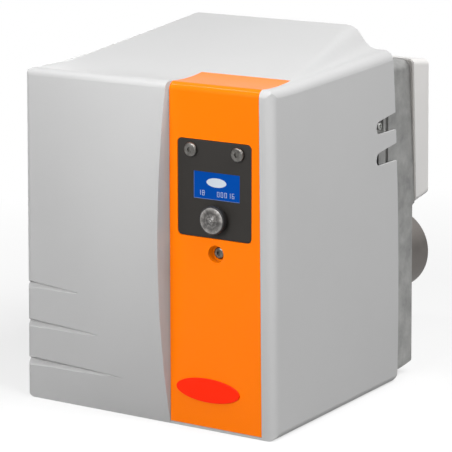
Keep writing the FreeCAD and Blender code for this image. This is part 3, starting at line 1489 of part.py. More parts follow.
def build_air_box():
    """Air intake box with its partition, seal, flap, servomotor and screws."""
    outer = box_form(0.0, 0.0)
    seal_outer = box_form(mm.seal_inset, mm.seal_thickness).cut(box_form(mm.seal_inset, 0.0))
    hollow = box_form(mm.box_wall, 10.0)
    seal = seal_outer.cut(box_form(mm.box_wall + 4.0, 10.0))
    shell = shaped("air_box_shell", outer.cut(hollow))
    wall = box("air_box_partition", 38.0, -60.0, 90.0, d.box_wall, 60.0, 100.0)
    pillars = [
        cylinder(f"air_box_pillar_{number}", x, -60.0, z, 6.0, 60.0)
        for number, (x, z) in enumerate(BOX_SCREWS)
    ]
    inside = doc.addObject("Part::MultiCommon", "air_box_inside")
    inside.Shapes = [fuse("air_box_ribs", wall, *pillars), shaped("air_box_limit", outer)]
    slots = [
        box(f"air_box_slot_{number}", 44.0 + 10.0 * number, -34.0, 85.0, 6.0, 18.0, 16.0)
        for number in range(6)
    ]
    holes = [
        cylinder(f"air_box_hole_{number}", x, -70.0, z, 2.2, 90.0)
        for number, (x, z) in enumerate(BOX_SCREWS)
    ]
    bearing = cylinder("air_box_bearing", d.flap_right, -20.0, d.flap_up, 7.0, 11.0)
    bearing_hole = cylinder("air_box_bearing_hole", d.flap_right, -30.0, d.flap_up,
                            d.flap_shaft + d.running_fit, 14.5)
    node(cut("air_box", fuse("air_box_raw", shell, inside, bearing), *slots, *holes, bearing_hole))
    seal_holes = [
        cylinder(f"seal_hole_{number}", x, -70.0, z, 2.2, 90.0) for number, (x, z) in enumerate(BOX_SCREWS)
    ]
    node(cut("air_box_seal", shaped("seal_band", seal), *seal_holes))
    lean = (d.box_rear_low - d.box_rear_high) / (foot + d.housing_height - d.seat_low)
    screws("air_box_screws", BOX_SCREWS, 0.25 - d.box_rear_low - lean * d.seat_low,
           4.2, 3.0, 2.2, 34.0, 1.0, lean)

    plate = box("flap_plate", d.flap_right - d.flap_chord / 2, -36.0, d.flap_up - d.flap_thickness / 2,
                d.flap_chord, 14.0, d.flap_thickness)
    axle = cylinder("flap_axle", d.flap_right, -50.0 - 5.0, d.flap_up, d.flap_shaft, 38.0)
    node(fuse("air_flap", plate, axle))
    case = rounded_slot("servo_case", 46.0, -112.0, 118.0, 52.0, 55.0, 64.0, 3.0)
    bore = cylinder("servo_bore", d.flap_right, -112.0 - 1.0, d.flap_up, d.flap_shaft + d.running_fit, 60.0)
    node(cut("servomotor", case, bore))


build_hood()
build_badge()
screws("hood_screw", [(button_x, hood_screw_z)], front + d.hood_screw_depth,
       d.hood_screw_head, 4.0, d.hood_screw_shank, 13.0)
build_display()
build_control()
finish_housing(build_housing())
build_rim_screws()
build_plates()
build_fan()
build_motor()
build_pump()
build_nozzle()
build_tube()
build_air_box()

# Check every sub-part, then write one file each.
doc.recompute()
for thing in doc.Objects:
    if "Invalid" in thing.State or "Error" in thing.State:
        raise RuntimeError(f"{thing.Label} did not build: {thing.State} {thing.getStatusString()}")
os.makedirs("parts", exist_ok=True)
for thing in NODES:
    if thing.Shape.isNull() or not thing.Shape.isValid():
        raise RuntimeError(f"{thing.Label} has no valid shape")
    thing.Shape.exportStep(f"parts/{thing.Label}.step")
    print(f"{thing.Label}: {len(thing.Shape.Solids)} solid(s), {thing.Shape.Volume / 1000:.1f} cm3")
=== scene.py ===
"""Looks of the oil burner: finishes for every solid of the frame, the lit display, and the studio."""
import math

import bpy
import numpy as np
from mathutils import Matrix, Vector


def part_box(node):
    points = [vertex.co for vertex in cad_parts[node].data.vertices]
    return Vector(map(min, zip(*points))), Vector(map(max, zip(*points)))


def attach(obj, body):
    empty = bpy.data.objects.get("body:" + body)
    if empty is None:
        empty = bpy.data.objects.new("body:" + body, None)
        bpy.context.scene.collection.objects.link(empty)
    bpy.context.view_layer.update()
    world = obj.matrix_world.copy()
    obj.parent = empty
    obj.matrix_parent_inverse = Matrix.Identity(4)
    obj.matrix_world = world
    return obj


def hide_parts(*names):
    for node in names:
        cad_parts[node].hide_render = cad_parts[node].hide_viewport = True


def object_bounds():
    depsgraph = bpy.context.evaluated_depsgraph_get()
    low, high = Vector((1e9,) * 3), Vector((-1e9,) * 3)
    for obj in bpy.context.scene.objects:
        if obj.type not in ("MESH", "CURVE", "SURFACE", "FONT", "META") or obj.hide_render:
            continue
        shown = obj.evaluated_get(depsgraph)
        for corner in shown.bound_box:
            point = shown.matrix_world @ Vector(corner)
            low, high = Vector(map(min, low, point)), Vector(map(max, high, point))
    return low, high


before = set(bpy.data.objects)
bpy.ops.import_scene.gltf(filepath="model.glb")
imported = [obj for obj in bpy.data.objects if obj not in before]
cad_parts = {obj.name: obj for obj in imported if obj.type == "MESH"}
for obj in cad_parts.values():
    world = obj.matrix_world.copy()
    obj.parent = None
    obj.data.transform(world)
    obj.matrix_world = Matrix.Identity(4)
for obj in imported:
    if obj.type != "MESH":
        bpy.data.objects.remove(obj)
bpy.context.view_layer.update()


# Fan housing and base plate. High-pressure die casting in aluminium, left as it comes from the
# vibratory finisher: dull silver grey, slightly mottled, with a fine tumbled grain and brighter
# places where the metal flowed together.
def linear(hex_colour):
    """A colour written as sRGB hex, turned to linear light with full opacity."""
    channels = [int(hex_colour[place:place + 2], 16) / 255 for place in (1, 3, 5)]
    turned = [c / 12.92 if c <= 0.04045 else ((c + 0.055) / 1.055) ** 2.4 for c in channels]
    return (*turned, 1.0)


def add(tree, kind, links=(), **settings):
    """Add one node with its settings and with links given as (input name, source socket)."""
    node = tree.nodes.new(kind)
    for name, value in settings.items():
        if hasattr(node, name):
            setattr(node, name, value)
        else:
            node.inputs[name.replace("_", " ")].default_value = value
    for name, source in links:
        tree.links.new(source, node.inputs[name])
    return node


def finish_base(name, hex_colour, roughness, metallic=0.0, ior=1.5, specular=0.5):
    """A material with its main shader, its tree, and the object's own coordinates in metres."""
    material = bpy.data.materials.new(name)
    material.use_nodes = True
    tree = material.node_tree
    shader = tree.nodes["Principled BSDF"]
    shader.inputs["Base Color"].default_value = linear(hex_colour)
    shader.inputs["Roughness"].default_value = roughness
    shader.inputs["Metallic"].default_value = metallic
    shader.inputs["IOR"].default_value = ior
    shader.inputs["Specular IOR Level"].default_value = specular
    place = add(tree, "ShaderNodeTexCoord").outputs["Object"]
    return material, tree, shader, place


def dress(finish, *names):
    """Give one finish to every slot of the named solids."""
    for name in names:
        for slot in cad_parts[name].material_slots:
            slot.material = finish


def noise(tree, place, patch_mm, detail, roughness=0.5):
    """A soft pattern from 0 to 1 with patches of the given size."""
    return add(tree, "ShaderNodeTexNoise", [("Vector", place)], Scale=1000 / patch_mm, Detail=detail,
               Roughness=roughness).outputs["Fac"]


def blended(tree, pattern, dark, light, start=0.0, end=1.0):
    """The dark colour up to the pattern's start value, the light one from its end value on."""
    ramp = add(tree, "ShaderNodeValToRGB", [("Fac", pattern)])
    for step, colour, position in ((0, dark, start), (1, light, end)):
        ramp.color_ramp.elements[step].color = colour
        ramp.color_ramp.elements[step].position = position
    return ramp.outputs["Color"]


def spread(tree, pattern, low, high):
    """A pattern from 0 to 1, stretched to run from low to high."""
    return add(tree, "ShaderNodeMapRange", [("Value", pattern)], To_Min=low, To_Max=high).outputs["Result"]


def surface(tree, shader, colour, roughness):
    """Lead a colour pattern and a roughness pattern into the main shader."""
    tree.links.new(colour, shader.inputs["Base Color"])
    tree.links.new(roughness, shader.inputs["Roughness"])


def emboss(tree, shader, pattern, strength, depth_mm):
    """Make the surface look raised by a pattern of the given depth."""
    bump = add(tree, "ShaderNodeBump", [("Height", pattern)], Strength=strength, Distance=depth_mm / 1000)
    tree.links.new(bump.outputs["Normal"], shader.inputs["Normal"])


def die_cast(name, dark, light, patch_mm, grain_mm, roughness, depth_mm):
    """Cast metal: soft patches between two greys, a tumbled grain in bump and roughness."""
    material, tree, shader, place = finish_base(name, light, roughness, 1.0)
    patches = noise(tree, place, patch_mm, 5.0, 0.62)
    grain = noise(tree, place, grain_mm, 3.0)
    surface(tree, shader, blended(tree, patches, linear(dark), linear(light), 0.3, 0.7),
            spread(tree, grain, roughness - 0.08, roughness + 0.1))
    emboss(tree, shader, grain, 0.35, depth_mm)
    return material


cast_aluminium = die_cast("die_cast_aluminium_tumbled", "#999998", "#bdbdbb", patch_mm=20.0, grain_mm=0.9,
                          roughness=0.46, depth_mm=0.12)
dress(cast_aluminium, "housing", "base_plate", "mount_flange", "motor_plate", "motor_end_shield")


# Screws, brackets and the small pressed pieces. Steel with a thin clear-passivated zinc plating:
# bright bluish silver, faintly cloudy, with fine handling scratches. The screws of the hood and the
# fascia are drawn in a darker grey: painted shade for the dark surroundings that they mirror.
def zinc_plated(name, cloudy, hex_colour, roughness, cloud_mm=5.0, mark_mm=0.5):
    """Plated steel: cloudy brightness a few millimetres across and stretched fine scratches."""
    material, tree, shader, place = finish_base(name, hex_colour, roughness, 1.0)
    cloud = noise(tree, place, cloud_mm, 3.0)
    stretch = add(tree, "ShaderNodeMapping", [("Vector", place)], Scale=(1.0, 0.12, 1.0),
                  Rotation=(0.4, 0.2, 0.7))
    marks = noise(tree, stretch.outputs["Vector"], mark_mm, 2.0)
    surface(tree, shader, blended(tree, cloud, linear(cloudy), linear(hex_colour), 0.3, 0.7),
            spread(tree, marks, roughness - 0.1, roughness + 0.12))
    emboss(tree, shader, marks, 0.2, 0.03)
    return material


zinc_steel = zinc_plated("zinc_plated_steel_passivated", "#a9aaa8", "#d2d3cf", 0.3)
dress(zinc_steel, "control_bracket", "nozzle_cover", "electrode_clamp", "adjusting_yoke", "adjusting_screw",
      "motor_screws", "pump_screws", "base_plate_screws", "tube_screws", "flange_clamp_screw",
      "air_box_screws", "rim_screws")
# These screws get a darker grey as painted shade, for the dark surroundings that they mirror.
dress(zinc_plated("screws_painted_dark_reflection", "#5c5a57", "#8b8985", 0.34), "hood_screw", "fascia_screws")


# Fan wheel, inlet ring and air flap. Pressed from hot-dip galvanised sheet, so the zinc shows as
# flat crystals a few millimetres across, each with its own grey and its own gloss.
def galvanised(name, crystal_mm=6.0):
    """Galvanised sheet: a cell pattern gives each crystal its own grey and its own gloss."""
    material, tree, shader, place = finish_base(name, "#a7adb0", 0.4, 1.0)
    crystal = add(tree, "ShaderNodeTexVoronoi", [("Vector", place)], Scale=1000 / crystal_mm)
    parts = add(tree, "ShaderNodeSeparateColor", [("Color", crystal.outputs["Color"])])
    surface(tree, shader, blended(tree, parts.outputs["Red"], linear("#8d9497"), linear("#bcc1c3")),
            spread(tree, parts.outputs["Green"], 0.32, 0.52))
    return material


dress(galvanised("galvanised_sheet_pressed"), "fan_wheel", "fan_inlet_ring", "air_flap")


# Motor. Extruded aluminium case with cooling fins, stacked steel laminations inside, and a ground
# steel shaft. Drawn, rolled and turned metals all show fine lines in one direction.

# The wave that draws the lines repeats after this length at a scale of one.
WAVE_REPEAT_MM = 314


def lined_metal(name, dark, light, pitch_mm, direction, roughness, depth_mm, cloud_mm=12.0):
    """Metal with fine parallel lines from a distorted wave, under a soft cloud in colour and gloss."""
    material, tree, shader, place = finish_base(name, light, roughness, 1.0)
    lines = add(tree, "ShaderNodeTexWave", [("Vector", place)], bands_direction=direction,
                Scale=WAVE_REPEAT_MM / pitch_mm, Distortion=1.5, Detail=2.0).outputs["Fac"]
    cloud = noise(tree, place, cloud_mm, 3.0)
    both = add(tree, "ShaderNodeMath", [(0, lines), (1, cloud)], operation="MULTIPLY").outputs["Value"]
    surface(tree, shader, blended(tree, both, linear(dark), linear(light), 0.0, 0.6),
            spread(tree, cloud, roughness - 0.08, roughness + 0.08))
    emboss(tree, shader, lines, 0.3, depth_mm)
    return material


dress(lined_metal("extruded_aluminium_fins", "#7c7f82", "#a3a6a8", 0.8, "X", 0.42, 0.02), "motor_case")
dress(lined_metal("steel_laminations_stacked", "#3a3633", "#7a7571", 0.6, "Y", 0.55, 0.05),
      "motor_stator", "motor_armature")
dress(lined_metal("ground_steel_bar", "#9b9c9d", "#c9cacb", 0.4, "Y", 0.28, 0.008),
      "motor_shaft", "nozzle_line")


# Black pieces of the drive and ignition: coupling, valve coil, transformer, servomotor and flame
# detector. Glass-filled nylon, moulded: near black and matt, with a fine grain. The capacitor and
# the plug socket are nylon too, moulded in white.
def shaded(colour, *shares):
    """A linear colour with its red, green and blue multiplied by one share each."""
    return tuple(channel * share for channel, share in zip(colour, (*shares, 1.0)))


def moulded(name, hex_colour, roughness, grain_mm, depth_mm, shift=0.06, ior=1.53, specular=0.5,
            cloud_mm=90.0):
    """Moulded plastic: an eroded-tool grain in bump and gloss, and a faint cloud in the colour."""
    material, tree, shader, place = finish_base(name, hex_colour, roughness, 0.0, ior, specular)
    grain = noise(tree, place, grain_mm, 2.0, 0.55)
    cloud = noise(tree, place, cloud_mm, 2.0)
    darker = shaded(linear(hex_colour), 1 - shift, 1 - shift, 1 - shift)
    lighter = shaded(linear(hex_colour), 1 + shift, 1 + shift, 1 + shift)
    surface(tree, shader, blended(tree, cloud, darker, lighter, 0.25, 0.75),
            spread(tree, grain, roughness - 0.05, roughness + 0.06))
    emboss(tree, shader, grain, 0.3, depth_mm)
    return material


black_nylon = moulded("black_nylon_glass_filled", "#1b1b1c", 0.55, 0.7, 0.06, shift=0.2)
dress(black_nylon, "pump_coupling", "ignition_transformer", "solenoid_valve", "flame_detector", "servomotor")
dress(moulded("white_nylon_moulded", "#d4d2cc", 0.45, 0.7, 0.04), "capacitor", "connector_socket")


# Oil pump, pipe and nozzle. The pump is a machined grey-iron block, the pipe drawn copper that has
# gone slightly brown, the line block and nozzle are turned brass.
dress(die_cast("grey_iron_machined", "#6f7275", "#8f9294", patch_mm=9.0, grain_mm=0.6, roughness=0.45,
               depth_mm=0.08), "oil_pump")
dress(lined_metal("copper_tube_drawn", "#8f5a3c", "#c98a63", 1.2, "Z", 0.3, 0.01), "oil_pipe")
dress(lined_metal("brass_turned", "#a07c33", "#d9b766", 0.5, "Y", 0.25, 0.015), "line_block", "nozzle")


# Diffuser disc, its holder and the electrodes. Brushed stainless sheet with the warm tint of heat,
# and glazed white ceramic for the electrodes.
dress(lined_metal("stainless_sheet_brushed", "#6d6762", "#a39b93", 0.5, "X", 0.35, 0.01),
      "diffuser", "diffuser_holder")
dress(moulded("ceramic_glazed_white", "#e2ddd0", 0.12, 4.0, 0.02, shift=0.04, ior=1.6), "electrodes")


# Blast tube. Rolled and welded heat-resistant steel with a satin surface: warm dark grey, with fine
# rolling lines round the tube and a soft cloud over them.
dress(lined_metal("blast_tube_steel_satin", "#7b7672", "#8b8682", 0.9, "Y", 0.4, 0.01), "blast_tube")


# Flange gasket. Soft mineral-fibre board between the flange and the boiler's door: off-white, with
# a felted surface.
dress(moulded("mineral_fibre_board", "#cfc9ba", 0.9, 1.6, 0.5, shift=0.1), "flange_gasket")


# Air box and its seal. The box is light grey ABS, a shade paler than the hood; the seal between it
# and the casting is a strip of grey-brown foam rubber.
dress(moulded("air_box_abs_light_grey", "#eeecea", 0.42, 0.9, 0.03, shift=0.02), "air_box")
dress(moulded("foam_rubber_grey_brown", "#b5b2af", 0.85, 0.8, 0.2, shift=0.12), "air_box_seal")


# Control unit. A closed case in dark blue-grey polycarbonate behind the fascia, with the same fine
# grain as the other moulded pieces.
dress(moulded("control_case_polycarbonate", "#3a4046", 0.5, 0.8, 0.04, shift=0.08), "control_unit")


# Fascia. A black textured polycarbonate plate with rounded corners, screwed on in front of the
# control unit. It mirrors little, so it stays dark in bright light.
dress(moulded("fascia_polycarbonate_black", "#2b2825", 0.48, 0.8, 0.05, shift=0.08, ior=1.58, specular=0.25),
      "display_fascia")


# Display. A blue back-lit liquid-crystal panel behind a clear window; the figures are left white
# by the panel. It shows a plain counter, a plain reading and a plain oval.
def lit_panel(name, dark, hex_colour, strength, roughness, cloud_mm=30.0):
    """A back-lit panel: a dark face whose glow falls off a little in a soft cloud."""
    material, tree, shader, place = finish_base(name, dark, roughness, specular=0.05)
    cloud = noise(tree, place, cloud_mm, 1.0)
    colour = linear(hex_colour)
    glow = blended(tree, cloud, shaded(colour, 0.8, 0.8, 0.85), shaded(colour, 1.15, 1.15, 1.1))
    tree.links.new(glow, shader.inputs["Emission Color"])
    shader.inputs["Emission Strength"].default_value = strength
    return material


dress(lit_panel("display_blue_backlit", "#00183a", "#0049a6", 0.92, 0.3), "lcd_module")

# Seven strokes of a figure: start and end corners in units of the figure's width and half height.
STROKES = {
    "top": ((0, 2), (1, 2)), "middle": ((0, 1), (1, 1)), "bottom": ((0, 0), (1, 0)),
    "upper_left": ((0, 1), (0, 2)), "upper_right": ((1, 1), (1, 2)),
    "lower_left": ((0, 0), (0, 1)), "lower_right": ((1, 0), (1, 1)),
}
FIGURES = {
    "0": ("top", "bottom", "upper_left", "upper_right", "lower_left", "lower_right"),
    "1": ("upper_right", "lower_right"),
    "6": ("top", "middle", "bottom", "upper_left", "lower_left", "lower_right"),
    "8": tuple(STROKES),
}
FIGURE_WIDE = 0.0021
FIGURE_HIGH = 0.0046
FIGURE_STEP = 0.0042
STROKE_WIDE = 0.0003
PRINT_THICK = 0.0002


def mesh_object(name, vertices, faces):
    """A mesh at the origin from an array of corners and the faces' corner numbers."""
    mesh = bpy.data.meshes.new(name)
    mesh.from_pydata(vertices.tolist(), [], [[int(corner) for corner in face] for face in faces])
    mesh.update()
    piece = bpy.data.objects.new(name, mesh)
    bpy.context.collection.objects.link(piece)
    return piece


def flat_bars(name, low_corner, high_corner, depth):
    """Upright boxes between pairs of corners (x, z), from y = depth forward by the print's
    thickness."""
    corners = np.array([(0, 0), (1, 0), (1, 1), (0, 1)])
    flat = low_corner[:, None] * (1 - corners) + high_corner[:, None] * corners
    count = len(flat)
    front = np.dstack([flat[..., 0], np.full((count, 4), depth - PRINT_THICK), flat[..., 1]])
    back = front + np.array([0, PRINT_THICK, 0])
    vertices = np.concatenate([front, back], axis=1).reshape(-1, 3)
    pattern = np.array([(0, 1, 2, 3), (5, 4, 7, 6), (0, 4, 5, 1), (1, 5, 6, 2), (2, 6, 7, 3), (3, 7, 4, 0)])
    faces = (np.arange(count)[:, None, None] * 8 + pattern).reshape(-1, 4)
    return mesh_object(name, vertices, faces)


def display_figures(name, text, left, low, depth):
    """Each stroke is a bar from its start to its end corner, widened by half a stroke all round."""
    unit = np.array([FIGURE_WIDE, FIGURE_HIGH / 2])
    starts = []
    ends = []
    for place, figure in enumerate(text):
        origin = np.array([left + place * FIGURE_STEP, low])
        for stroke in FIGURES[figure]:
            start, end = STROKES[stroke]
            starts.append(origin + unit * start)
            ends.append(origin + unit * end)
    low_corner = np.minimum(starts, ends) - STROKE_WIDE / 2
    high_corner = np.maximum(starts, ends) + STROKE_WIDE / 2
    return flat_bars(name, low_corner, high_corner, depth)


def display_oval(name, middle, half_wide, half_high, depth, count=48):
    """A flat ellipse, x = a cos t and z = b sin t, t from 0 to 2 pi, as a thin closed disc at y = depth."""
    turn = np.linspace(0, 2 * np.pi, count, endpoint=False)
    rim = np.column_stack([middle[0] + half_wide * np.cos(turn), np.full(count, depth - PRINT_THICK),
                           middle[1] + half_high * np.sin(turn)])
    step = np.arange(count)
    after = (step + 1) % count
    side = np.column_stack([after, step, step + count, after + count])
    return mesh_object(name, np.concatenate([rim, rim + np.array([0, PRINT_THICK, 0])]),
                       [step, step[::-1] + count, *side])


display_low, display_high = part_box("lcd_module")
figure_white = lit_panel("display_figures_white", "#8f949a", "#d0d8e2", 0.6, 0.4)
figure_row = display_low[2] + 0.0072
for name, text, inset in (("display_counter", "00016", 0.0288), ("display_current", "18", 0.0500)):
    figures = display_figures(name, text, display_high[0] - inset, figure_row, display_low[1])
    figures.data.materials.append(figure_white)
    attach(figures, "burner")
oval_middle = (display_high[0] - 0.0298, display_low[2] + 0.0205)
symbol = display_oval("display_symbol", oval_middle, half_wide=0.0112, half_high=0.0045,
                      depth=display_low[1])
symbol.data.materials.append(figure_white)
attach(symbol, "burner")

# Painted highlight: thin glowing bars along the lower and left edges of the clear window stand in for the
# light that these polished edges catch.
window_side = 0.0032
window_rim = 0.0037
edge_wide = 0.0004
window_left = display_low[0] + window_side
window_right = display_high[0] - window_side
window_foot = display_low[2] + window_rim
window_head = display_high[2] - window_rim
edge_low = np.array([(window_left, window_foot), (window_left, window_foot)])
edge_high = np.array([(window_right, window_foot + edge_wide), (window_left + edge_wide, window_head)])
window_edge = flat_bars("display_window_edge", edge_low, edge_high, display_low[1])
# The bars glow as a painted highlight.
window_edge.data.materials.append(lit_panel("display_window_edge_painted_highlight", "#5a6f9c", "#7f90b4", 0.35, 0.2))
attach(window_edge, "burner")


# Reset button. A cap in smoke-grey polycarbonate over a paler light guide, drawn opaque: its tone is
# painted in rings about the axis, with painted highlights on the lens in the middle and on the rim,
# and painted reflections over the dusky rest. A black sleeve moulded to it slides over the fascia's
# collar, and both move with the button.
def turned_piece(name, axis_x, axis_z, profile, ring=False, count=96):
    """A profile of (radius r, y) turned about Y: x = r cos t, z = r sin t, t from 0 to 2 pi.
    A ring's profile closes on itself, any other piece is closed by flat ends."""
    radius, depth = np.array(profile).T
    rings = len(radius)
    turn = np.linspace(0, 2 * np.pi, count, endpoint=False)
    vertices = np.dstack([axis_x + np.outer(np.cos(turn), radius), np.tile(depth, (count, 1)),
                          axis_z + np.outer(np.sin(turn), radius)]).reshape(-1, 3)
    row, step = np.meshgrid(np.arange(count), np.arange(rings if ring else rings - 1), indexing="ij")
    after = (step + 1) % rings
    beside = (row + 1) % count
    faces = list(np.dstack([row * rings + step, row * rings + after, beside * rings + after,
                            beside * rings + step]).reshape(-1, 4))
    if not ring:
        first = np.arange(count) * rings
        faces += [first, first[::-1] + rings - 1]
    piece = mesh_object(name, vertices, faces)
    piece.data.shade_smooth()
    return piece


def painted_highlight_cap(name, axis_x, axis_z, radius):
    """Clear plastic over a light guide, drawn opaque: rings of tone about the button's axis, made uneven by
    a streaky noise, and lighter and darker blades that fan out from the axis, all painted highlights and
    reflections."""
    material, tree, shader, place = finish_base(name, "#8b8884", 0.16, ior=1.58)
    flat = add(tree, "ShaderNodeVectorMath", [(0, place)], operation="MULTIPLY")
    flat.inputs[1].default_value = (1.0, 0.0, 1.0)
    shift = add(tree, "ShaderNodeVectorMath", [(0, flat.outputs[0])], operation="SUBTRACT")
    shift.inputs[1].default_value = (axis_x, 0.0, axis_z)
    from_axis = shift.outputs[0]
    streaks = noise(tree, from_axis, 3.2, 4.0, 0.65)

    # The tone at each share of the radius: the pale middle is the light guide with a painted highlight,
    # the rings beyond it painted reflections. The noise adds to the distance from the axis, so the
    # tones go on beyond the rim, to the span.
    span = 1.3
    uneven = 0.0085
    bands = [(0.0, "#dddbd8"), (0.34, "#c4c2bf"), (0.43, "#5f5c5a"), (0.56, "#8f8c89"), (0.66, "#4d4b49"),
             (0.8, "#7b7875"), (0.92, "#514f4d"), (1.06, "#6d6a67"), (span, "#a3a09d")]
    reach = add(tree, "ShaderNodeVectorMath", [(0, from_axis)], operation="LENGTH")
    wobble = add(tree, "ShaderNodeMath", [(0, streaks), (2, reach.outputs["Value"])],
                 operation="MULTIPLY_ADD")
    wobble.inputs[1].default_value = uneven
    share = add(tree, "ShaderNodeMapRange", [("Value", wobble.outputs[0])], From_Max=span * radius)
    rings = add(tree, "ShaderNodeValToRGB", [("Fac", share.outputs["Result"])])
    rings.color_ramp.elements[0].color = linear(bands[0][1])
    rings.color_ramp.elements[1].color = linear(bands[-1][1])
    for position, hex_colour in bands[1:-1]:
        rings.color_ramp.elements.new(position / span).color = linear(hex_colour)

    parts = add(tree, "ShaderNodeSeparateXYZ", [("Vector", from_axis)])
    angle = add(tree, "ShaderNodeMath", [(0, parts.outputs["Z"]), (1, parts.outputs["X"])],
                operation="ARCTAN2")
    fan = add(tree, "ShaderNodeTexNoise", [("W", angle.outputs[0])], noise_dimensions="1D", Scale=1.7,
              Detail=3.0)
    blades = add(tree, "ShaderNodeMapRange", [("Value", fan.outputs["Fac"])], From_Min=0.35, From_Max=0.65,
                 To_Min=0.55, To_Max=1.25)
    toned = add(tree, "ShaderNodeVectorMath", [(0, rings.outputs["Color"]), (1, blades.outputs["Result"])],
                operation="MULTIPLY")
    tree.links.new(toned.outputs[0], shader.inputs["Base Color"])
    emboss(tree, shader, streaks, 0.4, 0.5)
    return material


button_low, button_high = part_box("reset_button")
button_x = (button_low[0] + button_high[0]) / 2
button_z = (button_low[2] + button_high[2]) / 2
button_front = button_low[1]
button_back = button_high[1]

# The cap's crown, from the lens in the middle out to the rim: radius and distance ahead of the
# solid button's front. Behind the crown a narrower neck goes through the collar to the stem.
cap_radius = 0.01275
cap_rim = 0.0013
cap_back = 0.00105
neck_radius = 0.0102
neck_end = button_front + 0.0076
stem_radius = 0.0060
crown = [(0.0008, 0.0030), (0.0020, 0.0029), (0.0030, 0.0024), (0.0033, 0.0021), (0.0070, 0.0020),
         (0.0105, 0.0018), (0.0119, 0.0016), (cap_radius, cap_rim), (cap_radius, cap_back),
         (neck_radius, cap_back)]
cap_profile = [(radius, button_front - ahead) for radius, ahead in crown]
cap_profile += [(neck_radius, neck_end), (stem_radius, neck_end), (stem_radius, button_back)]
cap = turned_piece("reset_button_cap", button_x, button_z, cap_profile)
# The cap's rings are painted highlights and reflections.
cap.data.materials.append(painted_highlight_cap("reset_button_polycarbonate_painted_highlights", button_x, button_z, cap_radius))
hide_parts("reset_button")
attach(cap, "button")

# The sleeve meets the cap's rim, and its outer front edge is chamfered.
lip_radius = cap_radius + 0.00002
sleeve_radius = cap_radius + 0.0012
sleeve_inside = sleeve_radius - 0.0010
sleeve_end = button_front + 0.0036
lip_back = button_front - cap_back
sleeve_profile = [
    (lip_radius, button_front - cap_rim), (sleeve_radius - 0.0003, button_front - 0.0012),
    (sleeve_radius, button_front - 0.0008), (sleeve_radius, sleeve_end), (sleeve_inside, sleeve_end),
    (sleeve_inside, lip_back), (lip_radius, lip_back),
]
sleeve = turned_piece("reset_button_sleeve", button_x, button_z, sleeve_profile, ring=True)
sleeve.data.materials.append(black_nylon)
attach(sleeve, "button")


# Hood. Injection-moulded ABS in light grey with a fine eroded grain; it looks smooth from a
# distance, satin rather than glossy.
dress(moulded("hood_abs_light_grey", "#c9c9c9", 0.4, 1.1, 0.03, shift=0.012), "hood_shell")


# Orange strip and badge. Both ABS; the strip is moulded in orange and the badge is a bare glossy red
# plate. Both get a painted glow, an emission in their own colour that makes them brighter than the
# lamps do. The strip throws no orange cast on the grey panel beside it.
def painted_glow(material, hex_colour, strength):
    """Painted glow: an emission in the given colour, so that the piece looks brighter than the lamps make it.
    """
    shader = material.node_tree.nodes["Principled BSDF"]
    shader.inputs["Emission Color"].default_value = linear(hex_colour)
    shader.inputs["Emission Strength"].default_value = strength
    return material


orange = moulded("strip_abs_orange", "#ff7a00", 0.3, 1.1, 0.02, shift=0.02, specular=0.08)
shader = orange.node_tree.nodes["Principled BSDF"]
shader.inputs["Coat Weight"].default_value = 0.12
shader.inputs["Coat Roughness"].default_value = 0.07
# The strip gets a painted glow.
dress(painted_glow(orange, "#ff7800", 0.22), "orange_strip")
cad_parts["orange_strip"].visible_diffuse = False
red = moulded("badge_plate_red_gloss", "#ff2c0c", 0.3, 2.5, 0.01, shift=0.05, specular=0.1)
# The badge gets a painted glow too.
dress(painted_glow(red, "#ff2400", 0.25), "badge")


# Studio. Floor and backdrop are one sweep of paper. It is white to the camera, dim for the light
# that it gives back to the burner, and dimmer near the floor where a surface mirrors it. A large
# lamp overhead on the right, a near one in front, one behind and a small one for the glints.
FLOOR_GAP = 0.0003
FLOOR_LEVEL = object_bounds()[0][2] - FLOOR_GAP


def sweep(name, half_width, near, far, level, rise, radius):
    """Floor and backdrop as one strip: flat, then a quarter circle y = far - r + r sin t,
    z = r - r cos t, t from 0 to pi / 2, then upright."""
    turn = np.linspace(0, np.pi / 2, 24)
    depth = np.concatenate([[near], far - radius + radius * np.sin(turn), [far]])
    height = np.concatenate([[0.0], radius - radius * np.cos(turn), [rise]]) + level
    count = len(depth)
    left = np.column_stack([np.full(count, -half_width), depth, height])
    right = np.column_stack([np.full(count, half_width), depth, height])
    step = np.arange(count - 1)
    faces = np.column_stack([step, step + count, step + count + 1, step + 1])
    return mesh_object(name, np.concatenate([left, right]), faces)


def white_to_the_eye(tree, low, high, mirrored):
    """Low for rays that carry light about, and high for rays to the camera. Rays that come by a
    mirroring or clear surface get the given share of the way from low to high."""
    rays = add(tree, "ShaderNodeLightPath")
    seen = rays.outputs["Is Camera Ray"]
    for name in ("Is Glossy Ray", "Is Transmission Ray"):
        share = add(tree, "ShaderNodeMath", [(0, rays.outputs[name]), (1, mirrored)], operation="MULTIPLY")
        seen = add(tree, "ShaderNodeMath", [(0, seen), (1, share.outputs[0])], operation="MAXIMUM").outputs[0]
    return spread(tree, seen, low, high)


backdrop = sweep("studio_sweep", half_width=14.0, near=-9.0, far=9.0, level=FLOOR_LEVEL, rise=9.0, radius=3.0)
paper, tree, shader, place = finish_base("studio_paper_white", "#b9b9b9", 0.95)
height = add(tree, "ShaderNodeSeparateXYZ", [("Vector", place)]).outputs["Z"]
mirrored_share = add(tree, "ShaderNodeMapRange", [("Value", height)], From_Max=3.5, To_Min=0.35,
                     To_Max=1.0).outputs["Result"]
tree.links.new(white_to_the_eye(tree, 0.25, 0.95, mirrored_share), shader.inputs["Base Color"])

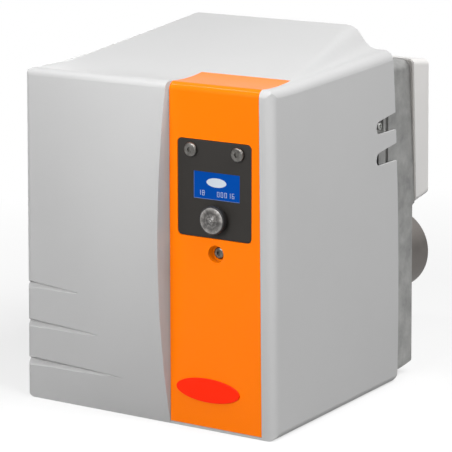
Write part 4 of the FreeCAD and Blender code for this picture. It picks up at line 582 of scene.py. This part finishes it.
# The paper's own glow hides its shading from the camera, a little less close to the burner, so that
# a faint shadow stays there.
glow = add(tree, "ShaderNodeEmission", Strength=1.0)
reach = add(tree, "ShaderNodeVectorMath", [(0, place)], operation="LENGTH")
fade = add(tree, "ShaderNodeMapRange", [("Value", reach.outputs["Value"])], From_Min=0.35, From_Max=0.9,
           To_Min=0.7, To_Max=1.0)
glow_share = add(tree, "ShaderNodeMath", [(0, fade.outputs["Result"]),
                                          (1, white_to_the_eye(tree, 0.0, 1.0, mirrored_share))],
                 operation="MULTIPLY")
blend = add(tree, "ShaderNodeMixShader", [("Fac", glow_share.outputs[0]), (1, shader.outputs["BSDF"]),
                                          (2, glow.outputs["Emission"])])
tree.links.new(blend.outputs["Shader"], tree.nodes["Material Output"].inputs["Surface"])
backdrop.data.materials.append(paper)

world = bpy.data.worlds.new("studio_world")
bpy.context.scene.world = world
world.use_nodes = True
sky = world.node_tree.nodes["Background"]
sky.inputs["Color"].default_value = linear("#ffffff")
sky_share = add(world.node_tree, "ShaderNodeValue").outputs["Value"]
sky_share.default_value = 0.65
world.node_tree.links.new(white_to_the_eye(world.node_tree, 0.03, 1.0, sky_share), sky.inputs["Strength"])


def soft_lamp(name, place, target, size, power):
    """A square area lamp at a place, turned towards a target; size in metres, power in watts."""
    lamp = bpy.data.lights.new(name, "AREA")
    lamp.size = size
    lamp.energy = power
    holder = bpy.data.objects.new(name, lamp)
    bpy.context.collection.objects.link(holder)
    holder.location = place
    holder.rotation_euler = (Vector(target) - Vector(place)).to_track_quat("-Z", "Y").to_euler()


MIDDLE = (-0.03, -0.2, 0.08)
soft_lamp("overhead_right", (1.3, -0.35, 1.95), MIDDLE, size=1.3, power=55.0)
soft_lamp("front_near", (-0.05, -1.1, 0.5), (-0.08, -0.33, 0.12), size=0.5, power=5.9)
soft_lamp("edge_glint", (-1.01, -0.73, 1.85), (0.05, -0.33, 0.25), size=0.3, power=4.0)
soft_lamp("back_left", (-1.9, 1.4, 0.3), MIDDLE, size=0.8, power=12.0)


# Camera. Stood at the photograph's place: to the right of the hood, a little above it, with a long
# lens.
YAW = math.radians(32.27)
PITCH = math.radians(12.61)
camera = bpy.data.cameras.new("camera")
camera.sensor_width = 36.0
camera.lens = 186.93
camera.clip_end = 60.0
eye = bpy.data.objects.new("camera", camera)
bpy.context.collection.objects.link(eye)
eye.location = (1.236, -2.186, 0.610)
look = Vector((-math.sin(YAW) * math.cos(PITCH), math.cos(YAW) * math.cos(PITCH), -math.sin(PITCH)))
eye.rotation_euler = look.to_track_quat("-Z", "Y").to_euler()
bpy.context.scene.camera = eye
bpy.context.scene.view_settings.view_transform = "Standard"
